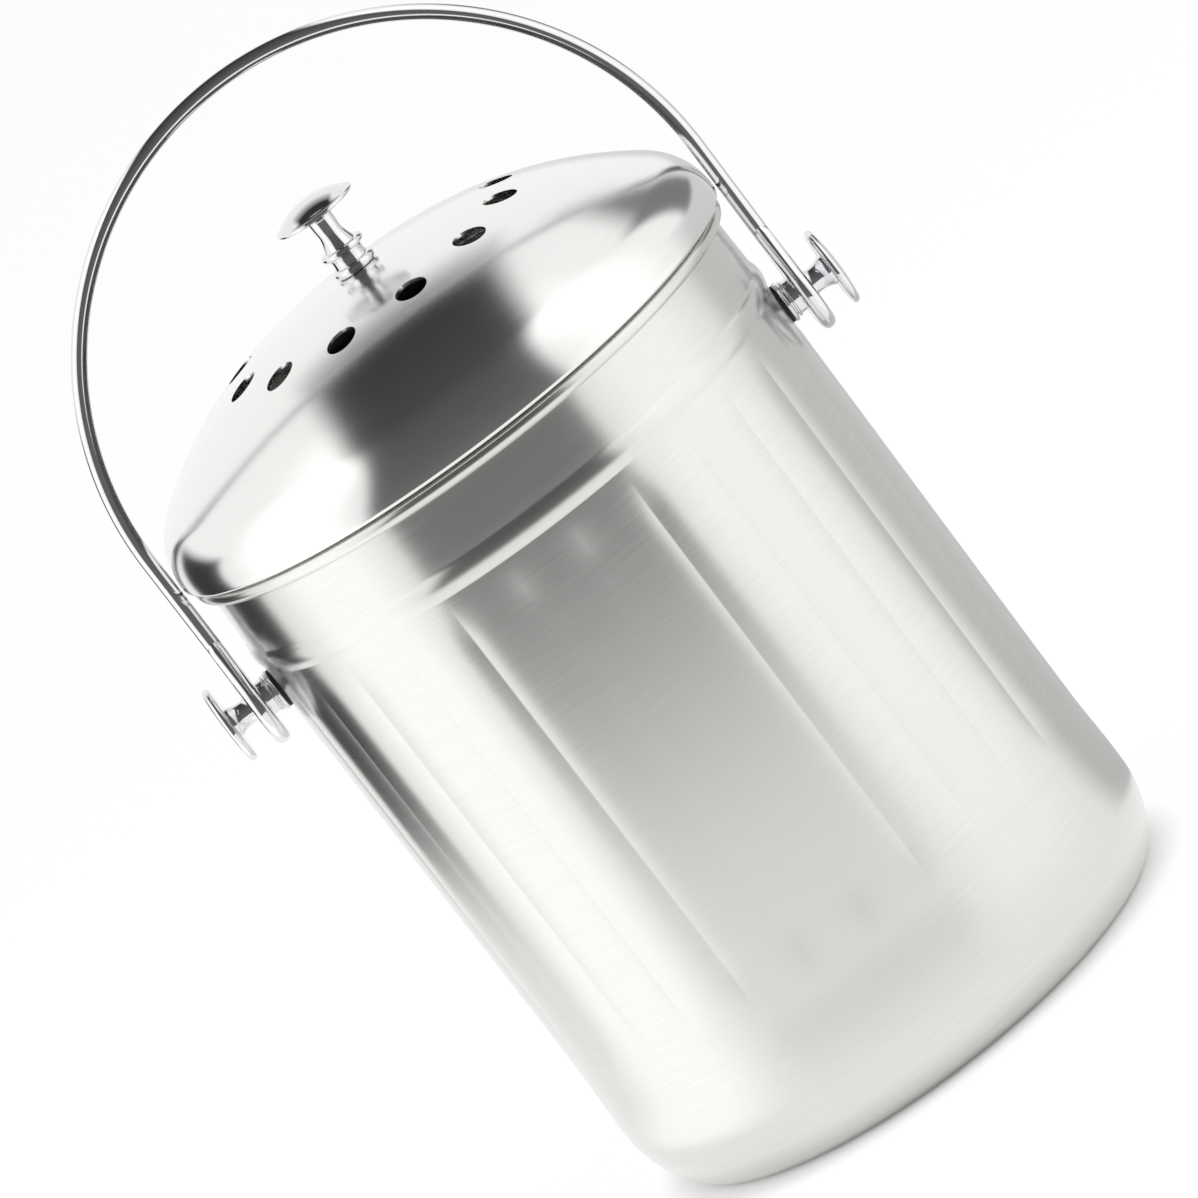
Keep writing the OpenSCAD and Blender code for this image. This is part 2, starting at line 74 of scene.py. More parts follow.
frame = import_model()
MM = 0.001
_, PAIL_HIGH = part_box("pail_shell")
LID_LOW, LID_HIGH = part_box("lid_dome")
_, BAIL_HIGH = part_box("bail_handle")
GASKET_LOW, GASKET_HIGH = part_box("right_pivot_gasket")
COLLAR_LOW, COLLAR_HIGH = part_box("right_pivot_collar")
SIDE_KNOB_LOW, SIDE_KNOB_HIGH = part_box("right_pivot_knob")
LID_KNOB_LOW, LID_KNOB_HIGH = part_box("lid_knob")
PAD_LOW, PAD_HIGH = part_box("charcoal_filter")
PIVOT_Z = (GASKET_LOW.z + GASKET_HIGH.z) / 2


# Properties

def size(name, description, default_mm):
    """A length property whose default is given in millimetres."""
    return FloatProperty(
        name=name, description=description, default=default_mm * MM, unit="LENGTH", precision=5)


def turn(name, description, default_degrees):
    """An angle property whose default is given in degrees."""
    return FloatProperty(
        name=name, description=description, default=math.radians(default_degrees), subtype="ANGLE")


def share(name, description, default):
    """A plain number from 0 to 1."""
    return FloatProperty(name=name, description=description, default=default, min=0.0, max=1.0)


def count(name, description, default, least):
    """A whole number, not under the least."""
    return IntProperty(name=name, description=description, default=default, min=least)


def linear(code):
    """An sRGB hex colour as linear red, green and blue."""
    parts = [int(code[i:i + 2], 16) / 255 for i in (1, 3, 5)]
    return [c / 12.92 if c <= 0.04045 else ((c + 0.055) / 1.055) ** 2.4 for c in parts]


def colour(name, description, code):
    """A colour property whose default is an sRGB hex value."""
    return FloatVectorProperty(
        name=name, description=description, default=linear(code), subtype="COLOR", min=0, max=1)


class CompostPailSizes(bpy.types.PropertyGroup):
    """Sizes of the ribbed pail."""

    body_r: size("Body radius", "Outside radius of the plain band above the foot", 80.1)
    wall: size("Wall", "Thickness of the pail's sheet", 0.8)
    rim_roll_r: size("Rim roll radius", "Radius of the rolled rim's section", 2.1)
    rim_end: turn("Rim roll end", "Direction in which the rolled sheet ends, from straight out", -125)
    neck_draw: size("Neck draw", "How far the neck draws in from the body to the rim", 0.5)
    bead_drop: size("Bead drop", "Depth of the bead's middle below the rim", 23.6)
    bead_h: size("Bead height", "Height of the bead round the neck", 6.7)
    bead_rise: size("Bead rise", "How far the bead stands out", 0.8)
    bead_crisp: size("Bead crispness", "Width over which the bead runs into the wall", 0.35)
    rib_count: count("Ribs", "Number of upright ribs", 27, least=3)
    rib_face_r: size("Rib face radius", "Radius of one rib's rounded face", 48)
    rib_inset: size("Rib inset", "How far the ribs' lower ends lie inside the plain band", 0.5)
    rib_turn: turn("First rib", "Direction of the first rib from +X", -81)
    rib_top_drop: size("Rib top drop", "Depth of the ribs' upper ends below the rim", 28)
    rib_foot_z: size("Rib foot height", "Height of the ribs' lower ends above the table", 42.6)
    rib_top_fade: size("Rib top fade", "Height over which the creases run out at their upper ends", 14)
    rib_foot_fade: size("Rib foot fade", "Height over which the creases run out at their lower ends", 16)
    swell_h: size("Swell height", "Height of the swell from the ribs' lower ends to the plain band", 19)
    foot_side_r: size("Foot side radius", "Radius of the upper, wider arc of the foot", 30)
    foot_edge_r: size("Foot edge radius", "Radius of the lower, tighter arc of the foot", 8.5)
    foot_turn: turn("Foot turn", "Turn of the wider arc", 35)
    land_r: size("Pivot flat radius", "Radius of the flat pressed for each pivot", 7)
    land_fade: size("Pivot flat fade", "Width over which the flat runs into the wall", 1.2)
    columns_per_rib: count("Columns per rib", "Mesh columns across one rib", 14, least=4)
    crease_focus: share("Crease focus", "How far the mesh columns draw together at the creases", 0.8)


class CompostLidSizes(bpy.types.PropertyGroup):
    """Sizes of the domed lid."""

    wall: size("Wall", "Thickness of the lid's sheet", 0.8)
    hem_r: size("Hem radius", "Radius of the lid's rolled edge", 1.1)
    band_h: size("Band height", "Height from the lid's lower edge to the top of its upright band", 1.8)
    bend_r: size("Bend radius", "Radius of the bend between the band and the dome", 18)
    shoulder_r: size("Shoulder radius", "Radius of the dome's shoulder in section", 106)
    crown_r: size("Crown radius", "Radius of the dome's crown", 165)
    crown_reach: size("Crown reach", "Distance from the middle at which crown and shoulder meet", 36)
    flat_r: size("Flat radius", "Radius of the flat under the knob", 10.7)
    hole_d: size("Screw hole", "Diameter of the hole for the knob's screw", 4.3)
    vent_count: count("Vents", "Number of vent holes", 12, least=3)
    vent_d: size("Vent diameter", "Diameter of a vent hole", 9)
    vent_ring_r: size("Vent ring radius", "Radius of the circle of vent holes", 41.7)
    vent_turn: turn("First vent", "Direction of the first vent hole from +X", 10.3)
    columns: count("Columns", "Mesh columns round the lid", 240, least=24)


class CompostBailSizes(bpy.types.PropertyGroup):
    """Sizes of the bail."""

    rod_d: size("Rod diameter", "Diameter of the bail's rod", 4.3)
    paddle_t: size("Paddle thickness", "Thickness of the flat paddle at each end", 4.1)
    paddle_r: size("Paddle radius", "Radius of the paddle's round end", 12.2)
    paddle_h: size("Paddle height", "Height of the paddle above the pivot", 20)
    paddle_top_w: size("Paddle top width", "Width of the paddle where it meets the rod", 5.2)
    paddle_edge: size("Paddle edge", "Rounding of the paddle's edges", 1.9)
    eye_d: size("Eye diameter", "Diameter of the eye that turns on the collar", 6.1)


class CompostTurnedSizes(bpy.types.PropertyGroup):
    """Sizes of the turned collars and knobs."""

    bore_d: size("Collar bore", "Diameter of the collar's bore", 4.3)
    collar_groove: size("Collar groove", "Height and depth of the groove between the collar's two rings", 0.3)
    lesser_ring_h: size("Lesser ring height", "Height of the collar's second ring", 0.8)
    tapped_d: size("Tapped bore", "Diameter of a knob's tapped bore", 4.1)
    tapped_h: size("Tapped depth", "Depth of a knob's tapped bore", 5)
    collar_ring_h: size("Collar ring height", "Height of the collar's ring", 1.3)
    collar_neck_d: size("Collar neck", "Diameter of the collar's neck", 9.8)
    sleeve_d: size("Sleeve diameter", "Diameter of the sleeve inside the bail's eye", 6)
    sleeve_h: size("Sleeve height", "Length of the sleeve inside the bail's eye", 4.4)
    side_post_h: size("Side post", "Length of a pivot knob's post", 5.8)
    side_foot_r: size("Side foot", "Radius of a pivot knob's post at its seat", 3.5)
    side_waist_r: size("Side waist", "Radius towards which the post draws in at its middle", 2.9)
    side_flare_r: size("Side flare", "Radius of the post under the cap", 4.3)
    side_cap_edge: size("Side cap edge", "Thickness of a pivot knob's cap at its edge", 2.2)
    side_cap_rise: size("Side cap rise", "Rise of a pivot knob's domed face", 0.8)
    foot_ring_h: size("Foot ring height", "Height of the lid knob's foot ring", 2.7)
    foot_ring_d: size("Foot ring diameter", "Diameter of the lid knob's foot ring", 12.2)
    hollow_h: size("Hollow height", "Height of the hollow between the lid knob's rings", 2.9)
    hollow_d: size("Hollow diameter", "Diameter of the hollow between the lid knob's rings", 9.6)
    upper_ring_h: size("Upper ring height", "Height of the lid knob's upper ring", 2)
    upper_ring_d: size("Upper ring diameter", "Diameter of the lid knob's upper ring", 12.4)
    stem_h: size("Stem height", "Length of the lid knob's stem", 10.2)
    stem_d: size("Stem diameter", "Diameter of the stem at its waist", 6.6)
    flare_h: size("Flare height", "Height over which a post or stem flares to its cap", 0.6)
    lid_cap_edge: size("Lid cap edge", "Thickness of the lid knob's cap at its edge", 1.1)
    lid_cap_rise: size("Lid cap rise", "Rise of the lid knob's dome", 3.4)


class CompostFilterSizes(bpy.types.PropertyGroup):
    """Sizes of the charcoal pad."""

    edge_r: size("Edge radius", "Radius of the pad's rounded edge", 2.4)
    crown: size("Crown", "Height of the pad's crown", 1.6)
    seam_inset: size("Seam inset", "Distance of the pressed seam from the pad's edge", 6)
    seam_depth: size("Seam depth", "Depth of the pressed seam", 0.7)


class CompostFinishes(bpy.types.PropertyGroup):
    """Colours and surface values of the finishes."""

    sheet_colour: colour("Sheet", "Brushed stainless sheet", "#e4e3e0")
    satin_colour: colour("Satin sheet", "Satin-polished stainless sheet", "#f3f2f0")
    chrome_colour: colour("Chrome", "Polished chrome", "#e6e7e9")
    zinc_colour: colour("Zinc", "Zinc-plated steel", "#b9bbbc")
    rubber_colour: colour("Rubber", "Black rubber", "#161616")
    plastic_colour: colour("Tray plastic", "Moulded dark plastic", "#2a2b2d")
    felt_colour: colour("Felt", "Charcoal felt", "#1b1b1c")
    grain_w: size("Grain width", "Width of one brush line, drawn coarser than life so that it shows", 0.45)
    grain_l: size("Grain length", "Length of one brush line", 22)
    sheet_rough: share("Sheet roughness", "Roughness of the brushed sheet", 0.23)
    sheet_aniso: share("Sheet anisotropy", "How much the brushing stretches reflections", 0.6)
    satin_rough: share("Satin roughness", "Roughness of the lid's satin dome", 0.16)
    satin_aniso: share("Satin anisotropy", "How much the satin dome's fine lines stretch reflections", 0.15)


class CompostStage(bpy.types.PropertyGroup):
    """Camera and studio."""

    lens: FloatProperty(name="Lens", description="Focal length in millimetres", default=295.5)
    distance: size("Distance", "Distance of the camera from its target", 2505)
    elevation: turn("Elevation", "Height of the camera above the horizon", 12.42)
    roll: turn("Roll", "Turn of the camera about its own view", -37.3)
    target_x: size("Target X", "Place of the point that the camera looks at, along X", -2.05)
    target_z: size("Target Z", "Height of the point that the camera looks at", 136.9)
    floor_colour: colour("Floor", "Pale studio floor", "#f4f4f4")
    contact_low: size("Contact shadow inside", "Distance from the middle to the end of the full shadow", 70)
    contact_high: size("Contact shadow outside", "Distance from the middle to the end of the shadow", 85)


# Mesh helpers

def arc(cx, cz, radius, start, end, steps):
    """Points along an arc, with the angles in degrees."""
    angles = [math.radians(start + (end - start) * i / steps) for i in range(steps + 1)]
    return [(cx + radius * math.cos(a), cz + radius * math.sin(a)) for a in angles]


def span(a, b, steps):
    """Points from a to b, with a left out."""
    return [(a[0] + (b[0] - a[0]) * i / steps, a[1] + (b[1] - a[1]) * i / steps) for i in range(1, steps + 1)]


def bend(a, b, c, steps=16):
    """Points along a smooth bend from a to c, drawn towards b."""
    shares = [i / steps for i in range(steps + 1)]
    weights = [((1 - t) ** 2, 2 * t * (1 - t), t * t) for t in shares]
    return [tuple(u * a[k] + v * b[k] + w * c[k] for k in (0, 1)) for u, v, w in weights]


def ring_edge(radius, low, height, steps=12):
    """A turned ring's rounded edge, from low to low + height."""
    return arc(radius - height / 2, low + height / 2, height / 2, -90, 90, steps)


def low_dome(radius, low, rise, steps=16):
    """A shallow dome from its edge in to the middle."""
    big = (radius ** 2 + rise ** 2) / (2 * rise)
    half = math.degrees(math.asin(radius / big))
    return arc(0, low + rise - big, big, 90 - half, 90, steps)


def tidy(points):
    """The points without neighbours that coincide."""
    kept = [points[0]]
    for p in points[1:]:
        if math.dist(p, kept[-1]) > 1e-7:
            kept.append(p)
    return kept


def new_object(name, mesh, sharp_degrees=32):
    """A smooth-shaded object whose corners over the angle stay sharp."""
    mesh.name = name
    mesh.shade_smooth()
    mesh.set_sharp_from_angle(angle=math.radians(sharp_degrees))
    obj = bpy.data.objects.new(name, mesh)
    bpy.context.scene.collection.objects.link(obj)
    return obj


def even(columns):
    """Angles of evenly spaced columns."""
    return [2 * math.pi * k / columns for k in range(columns)]


def as_mesh(form, name, outwards=True):
    """The form as a mesh, with its faces turned outwards if it is a closed body."""
    mesh = bpy.data.meshes.new(name)
    if outwards:
        bmesh.ops.recalc_face_normals(form, faces=form.faces)
    form.to_mesh(mesh)
    form.free()
    return mesh


def bridge(form, rings, closed=False):
    """Joins rings of equal length by faces, and the last ring to the first if closed."""
    for low, high in zip(rings, rings[1:] + (rings[:1] if closed else [])):
        for k in range(len(low)):
            n = (k + 1) % len(low)
            form.faces.new((low[k], low[n], high[n], high[k]))


def lathe(profile, angles, insets=None):
    """A mesh turned about Z from (radius, height) points. Ends off the axis are joined to each other.
    insets gives each point's distance from the outer face, kept in the attribute inset."""
    form = bmesh.new()
    layer = form.verts.layers.float.new("inset")
    rings = []
    for i, (radius, height) in enumerate(profile):
        if radius < 1e-7:
            ring = [form.verts.new((0, 0, height))]
        else:
            ring = [form.verts.new((radius * math.cos(a), radius * math.sin(a), height)) for a in angles]
        for v in ring:
            v[layer] = insets[i] if insets else 0.0
        rings.append(ring)
    pairs = list(zip(rings, rings[1:]))
    if len(rings[0]) > 1 and len(rings[-1]) > 1:
        pairs.append((rings[-1], rings[0]))
    for low, high in pairs:
        for k in range(len(angles)):
            n = (k + 1) % len(angles)
            corners = [low[k % len(low)], low[n % len(low)], high[n % len(high)], high[k % len(high)]]
            form.faces.new(list(dict.fromkeys(corners)))
    return as_mesh(form, "turned")


def tube(path, side, radius, sides=32):
    """A capped tube along points in a plane whose normal is side."""
    form = bmesh.new()
    turns = [2 * math.pi * k / sides for k in range(sides)]
    rings = []
    for i, p in enumerate(path):
        ahead = (path[min(i + 1, len(path) - 1)] - path[max(i - 1, 0)]).normalized()
        across = side.cross(ahead).normalized()
        spokes = [math.cos(a) * side + math.sin(a) * across for a in turns]
        rings.append([form.verts.new(p + radius * spoke) for spoke in spokes])
    bridge(form, rings)
    form.faces.new(rings[0])
    form.faces.new(rings[-1])
    return as_mesh(form, "tube")


def joined(name, meshes, sharp_degrees=32):
    """One object from several meshes."""
    form = bmesh.new()
    for mesh in meshes:
        form.from_mesh(mesh)
        bpy.data.meshes.remove(mesh)
    whole = bpy.data.meshes.new(name)
    form.to_mesh(whole)
    form.free()
    return new_object(name, whole, sharp_degrees)


def stand_for(obj, node, material):
    """Gives the piece its finish, seats it on the node's body and lets it stand for the node."""
    obj.data.materials.clear()
    obj.data.materials.append(material)
    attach(obj, frame["nodes"][node]["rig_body"])
    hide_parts(node)


def finish_node(node, material):
    """Gives a CAD node its finish."""
    obj = frame["nodes"][node]
    obj.data.materials.clear()
    obj.data.materials.append(material)


# Node helpers

def fill(tree, node, inputs):
    """Links or sets a node's inputs."""
    for key, value in inputs.items():
        if isinstance(value, bpy.types.NodeSocket):
            tree.links.new(value, node.inputs[key])
        else:
            node.inputs[key].default_value = value


def put(tree, kind, inputs=None, **settings):
    """Adds a node with its settings, and links or sets its inputs."""
    node = tree.nodes.new(kind)
    for name, value in settings.items():
        setattr(node, name, value)
    fill(tree, node, inputs or {})
    return node


def calc(tree, operation, *values, clamp=False):
    """The output of one Math node."""
    inputs = dict(enumerate(values))
    return put(tree, "ShaderNodeMath", inputs, operation=operation, use_clamp=clamp).outputs[0]


def square(tree, value):
    """The value times itself."""
    return calc(tree, "MULTIPLY", value, value)


def hypot(tree, a, b):
    """The length of the slope over two legs that stand at a right angle."""
    return calc(tree, "SQRT", calc(tree, "ADD", square(tree, a), square(tree, b)))


def remap(tree, value, ends, to=(0.0, 1.0), smooth=False):
    """The value carried from its two ends to two others, and held there beyond them."""
    inputs = {0: value, 1: ends[0], 2: ends[1], 3: to[0], 4: to[1]}
    kind = "SMOOTHSTEP" if smooth else "LINEAR"
    return put(tree, "ShaderNodeMapRange", inputs, interpolation_type=kind).outputs[0]


def noise(tree, place, per_metre, detail, **inputs):
    """Noise over a place in metres, with so many waves to a metre."""
    inputs = {"Vector": place, "Scale": per_metre, "Detail": detail, **inputs}
    return put(tree, "ShaderNodeTexNoise", inputs).outputs[0]


def blend(tree, amount, first, second):
    """A colour that goes from the first to the second as the amount goes from 0 to 1."""
    inputs = {0: amount, 6: (*first, 1), 7: (*second, 1)}
    return put(tree, "ShaderNodeMix", inputs, data_type="RGBA").outputs[2]


def bump(tree, height, strength, depth):
    """A normal that is roughened by a height."""
    return put(tree, "ShaderNodeBump", {"Height": height, "Strength": strength, "Distance": depth}).outputs[0]


def join_axes(tree, x, y, z):
    """A vector from its three parts."""
    return put(tree, "ShaderNodeCombineXYZ", {0: x, 1: y, 2: z}).outputs[0]


def new_material(name):
    """An empty material, its tree, its Principled shader and its object coordinates."""
    material = bpy.data.materials.new(name)
    material.use_nodes = True
    tree = material.node_tree
    tree.nodes.clear()
    shader = put(tree, "ShaderNodeBsdfPrincipled")
    put(tree, "ShaderNodeOutputMaterial", {"Surface": shader.outputs[0]})
    place = put(tree, "ShaderNodeTexCoord").outputs["Object"]
    return material, tree, shader, place


def apply_tree(obj, tree, values):
    """Runs a Geometry Nodes tree on the object, keeps the result as its mesh and drops the modifier."""
    modifier = obj.modifiers.new(tree.name, "NODES")
    modifier.node_group = tree
    given = [s for s in tree.interface.items_tree if s.item_type == "SOCKET" and s.in_out == "INPUT"]
    sockets = {s.name: s.identifier for s in given}
    for name, value in values.items():
        modifier[sockets[name]] = value
    graph = bpy.context.evaluated_depsgraph_get()
    mesh = bpy.data.meshes.new_from_object(obj.evaluated_get(graph))
    obj.modifiers.remove(modifier)
    old = obj.data
    obj.data = mesh
    mesh.name = obj.name
    bpy.data.meshes.remove(old)


def new_tree(name, counts, numbers):
    """A Geometry Nodes tree with a geometry in and out, its named inputs, and its group nodes' sockets."""
    tree = bpy.data.node_groups.new(name, "GeometryNodeTree")
    tree.interface.new_socket("Geometry", in_out="INPUT", socket_type="NodeSocketGeometry")
    tree.interface.new_socket("Geometry", in_out="OUTPUT", socket_type="NodeSocketGeometry")
    for label in counts:
        tree.interface.new_socket(label, in_out="INPUT", socket_type="NodeSocketInt")
    for label in numbers:
        tree.interface.new_socket(label, in_out="INPUT", socket_type="NodeSocketFloat")
    return tree, tree.nodes.new("NodeGroupInput").outputs, tree.nodes.new("NodeGroupOutput").inputs


def close_tree(tree, geometry, material, out):
    """Ends a tree in Realize Instances and Set Material."""
    whole = put(tree, "GeometryNodeRealizeInstances", {"Geometry": geometry}).outputs[0]
    put_on = put(tree, "GeometryNodeSetMaterial", {"Geometry": whole, "Material": material})
    tree.links.new(put_on.outputs[0], out[0])


# Finishes

def scaled(shade, times):
    """A colour made lighter or darker."""
    return [c * times for c in shade]


def steel_sheet(name, shade, rough, aniso, contrast):
    """Stainless sheet with fine lines that run round its axis, and reflections stretched across them."""
    look = bpy.context.scene.compost_finishes
    material, tree, shader, place = new_material(name)
    axes = put(tree, "ShaderNodeSeparateXYZ", {0: place}).outputs
    radius = hypot(tree, axes[0], axes[1])
    safe_radius = calc(tree, "MAXIMUM", radius, 0.1 * MM)
    full_length_r = 80 * MM
    around = full_length_r / look.grain_l
    lines = join_axes(tree, calc(tree, "MULTIPLY", calc(tree, "DIVIDE", axes[0], safe_radius), around),
                      calc(tree, "MULTIPLY", calc(tree, "DIVIDE", axes[1], safe_radius), around),
                      calc(tree, "DIVIDE", calc(tree, "SUBTRACT", axes[2], radius), look.grain_w))
    grain = noise(tree, lines, 1.0, 4.0, Roughness=0.62)
    cloud = noise(tree, place, 28.0, 2.0)
    spread = contrast / 4
    uneven = remap(tree, grain, (0.25, 0.75), (rough - spread, rough + spread))
    cloudy = calc(tree, "MULTIPLY", calc(tree, "SUBTRACT", cloud, 0.5), 0.02)
    fill(tree, shader, {
        "Base Color": blend(tree, remap(tree, grain, (0.3, 0.7)), scaled(shade, 1 - contrast), shade),
        "Metallic": 1.0,
        "Roughness": calc(tree, "ADD", uneven, cloudy),
        "Anisotropic": aniso,
        "Anisotropic Rotation": 0.25,
        "Normal": bump(tree, grain, contrast / 2, 0.02 * MM),
        "Tangent": put(tree, "ShaderNodeTangent", direction_type="RADIAL", axis="Z").outputs[0]})
    return material


def brushed_stainless():
    """The pail's sheet, brushed round its axis: lines that catch the light, reflections drawn up and down."""
    look = bpy.context.scene.compost_finishes
    return steel_sheet("brushed_stainless_sheet", look.sheet_colour, look.sheet_rough, look.sheet_aniso, 0.05)


def satin_stainless():
    """The lid's sheet, spun and satin polished: clearer reflections with barely a grain."""
    look = bpy.context.scene.compost_finishes
    return steel_sheet("satin_stainless_sheet", look.satin_colour, look.satin_rough, look.satin_aniso, 0.04)


def polished_chrome():
    """Chrome plate over a polished turning: a clear mirror with the faintest waviness from buffing."""
    look = bpy.context.scene.compost_finishes
    material, tree, shader, place = new_material("polished_chrome")
    haze = noise(tree, place, 320.0, 3.0)
    wave = noise(tree, place, 140.0, 1.0)
    fill(tree, shader, {
        "Base Color": (*look.chrome_colour, 1),
        "Metallic": 1.0,
        "Roughness": remap(tree, haze, (0.3, 0.7), (0.05, 0.1)),
        "Normal": bump(tree, wave, 0.15, 0.03 * MM)})
    return material


def zinc_plate():
    """Zinc-plated screw steel: a pale grey satin with a cloudy bloom."""
    look = bpy.context.scene.compost_finishes
    material, tree, shader, place = new_material("zinc_plated_steel")
    bloom = noise(tree, place, 500.0, 4.0)
    fill(tree, shader, {
        "Base Color": blend(tree, bloom, scaled(look.zinc_colour, 0.8), look.zinc_colour),
        "Metallic": 1.0,
        "Roughness": remap(tree, bloom, (0.3, 0.7), (0.28, 0.42))})
    return material


def black_rubber():
    """Moulded nitrile rubber: nearly black, dull, with a fine tooth."""
    look = bpy.context.scene.compost_finishes
    material, tree, shader, place = new_material("black_nitrile_rubber")
    tooth = noise(tree, place, 2600.0, 2.0)
    fill(tree, shader, {
        "Base Color": (*look.rubber_colour, 1),
        "Roughness": 0.62,
        "Normal": bump(tree, tooth, 0.25, 0.03 * MM)})
    return material


def moulded_plastic():
    """Injection-moulded polypropylene with a spark-eroded matt texture of about 0.3 mm."""
    look = bpy.context.scene.compost_finishes
    material, tree, shader, place = new_material("moulded_polypropylene")
    grit = noise(tree, place, 3300.0, 2.0)
    fill(tree, shader, {
        "Base Color": (*look.plastic_colour, 1),
        "Roughness": remap(tree, grit, (0.3, 0.7), (0.45, 0.6)),
        "Normal": bump(tree, grit, 0.3, 0.04 * MM)})
    return material


def charcoal_felt():
    """Needled charcoal felt: matt black with tangled fibres about 0.4 mm apart and grey flecks."""
    look = bpy.context.scene.compost_finishes
    material, tree, shader, place = new_material("charcoal_felt")
    fibre = noise(tree, place, 2500.0, 5.0, Distortion=1.5)
    fleck = remap(tree, fibre, (0.55, 0.75))
    fill(tree, shader, {
        "Base Color": blend(tree, fleck, look.felt_colour, scaled(look.felt_colour, 3.5)),
        "Roughness": 0.95,
        "Sheen Weight": 0.25,
        "Normal": bump(tree, fibre, 0.7, 0.3 * MM)})
    return material


FINISHES = {
    "sheet": brushed_stainless,
    "satin": satin_stainless,
    "chrome": polished_chrome,
    "zinc": zinc_plate,
    "rubber": black_rubber,
    "plastic": moulded_plastic,
    "felt": charcoal_felt,
}
made_finishes = {}


def finish(name):
    """The finish of that name, made once."""
    if name not in made_finishes:
        made_finishes[name] = FINISHES[name]()
    return made_finishes[name]


# Pail

def pail_wall(s, inset):
    """Profile of the pail without ribs, from the middle of its base to its rim, inset from its outer face."""
    foot = math.degrees(s.foot_turn)
    gap = s.foot_side_r - s.foot_edge_r
    side_c = s.body_r - s.foot_side_r
    edge_c = side_c + gap * math.cos(s.foot_turn)
    side_z = s.foot_edge_r + gap * math.sin(s.foot_turn)
    rib_top = PAIL_HIGH.z - s.rib_top_drop
    rim_z = PAIL_HIGH.z - s.rim_roll_r
    bead_z = PAIL_HIGH.z - s.bead_drop
    bead_arc_r = ((s.bead_h / 2) ** 2 + s.bead_rise ** 2) / (2 * s.bead_rise)
    bead_half = math.degrees(math.asin(s.bead_h / 2 / bead_arc_r))
    bead_c = s.body_r + s.bead_rise - bead_arc_r
    neck_top = s.body_r - s.neck_draw
    points = [(0, inset)] + span((0, inset), (edge_c, inset), 8)
    points += arc(edge_c, s.foot_edge_r, s.foot_edge_r - inset, -90, -foot, 9)
    points += arc(side_c, side_z, s.foot_side_r - inset, -foot, 0, 10)
    points += span(points[-1], (s.body_r - inset, s.rib_foot_z - s.swell_h), 1)
    swell_steps = 14
    for t in [i / swell_steps for i in range(1, swell_steps + 1)]:
        drawn = s.rib_inset * t * t * (3 - 2 * t)
        points.append((s.body_r - drawn - inset, s.rib_foot_z - s.swell_h * (1 - t)))
    points += span(points[-1], (s.body_r - s.rib_inset - inset, s.rib_foot_z + s.rib_foot_fade), 9)
    points += span(points[-1], (s.body_r - inset, rib_top - s.rib_top_fade), 5)
    points += span(points[-1], (s.body_r - inset, rib_top), 9)
    points.append((s.body_r - inset, bead_z - s.bead_h / 2 - s.bead_crisp))
    points += arc(bead_c, bead_z, bead_arc_r - inset, -bead_half, bead_half, 10)
    points.append((s.body_r - inset, bead_z + s.bead_h / 2 + s.bead_crisp))
    points += span(points[-1], (neck_top - inset, rim_z), 5)
    return tidy(points)


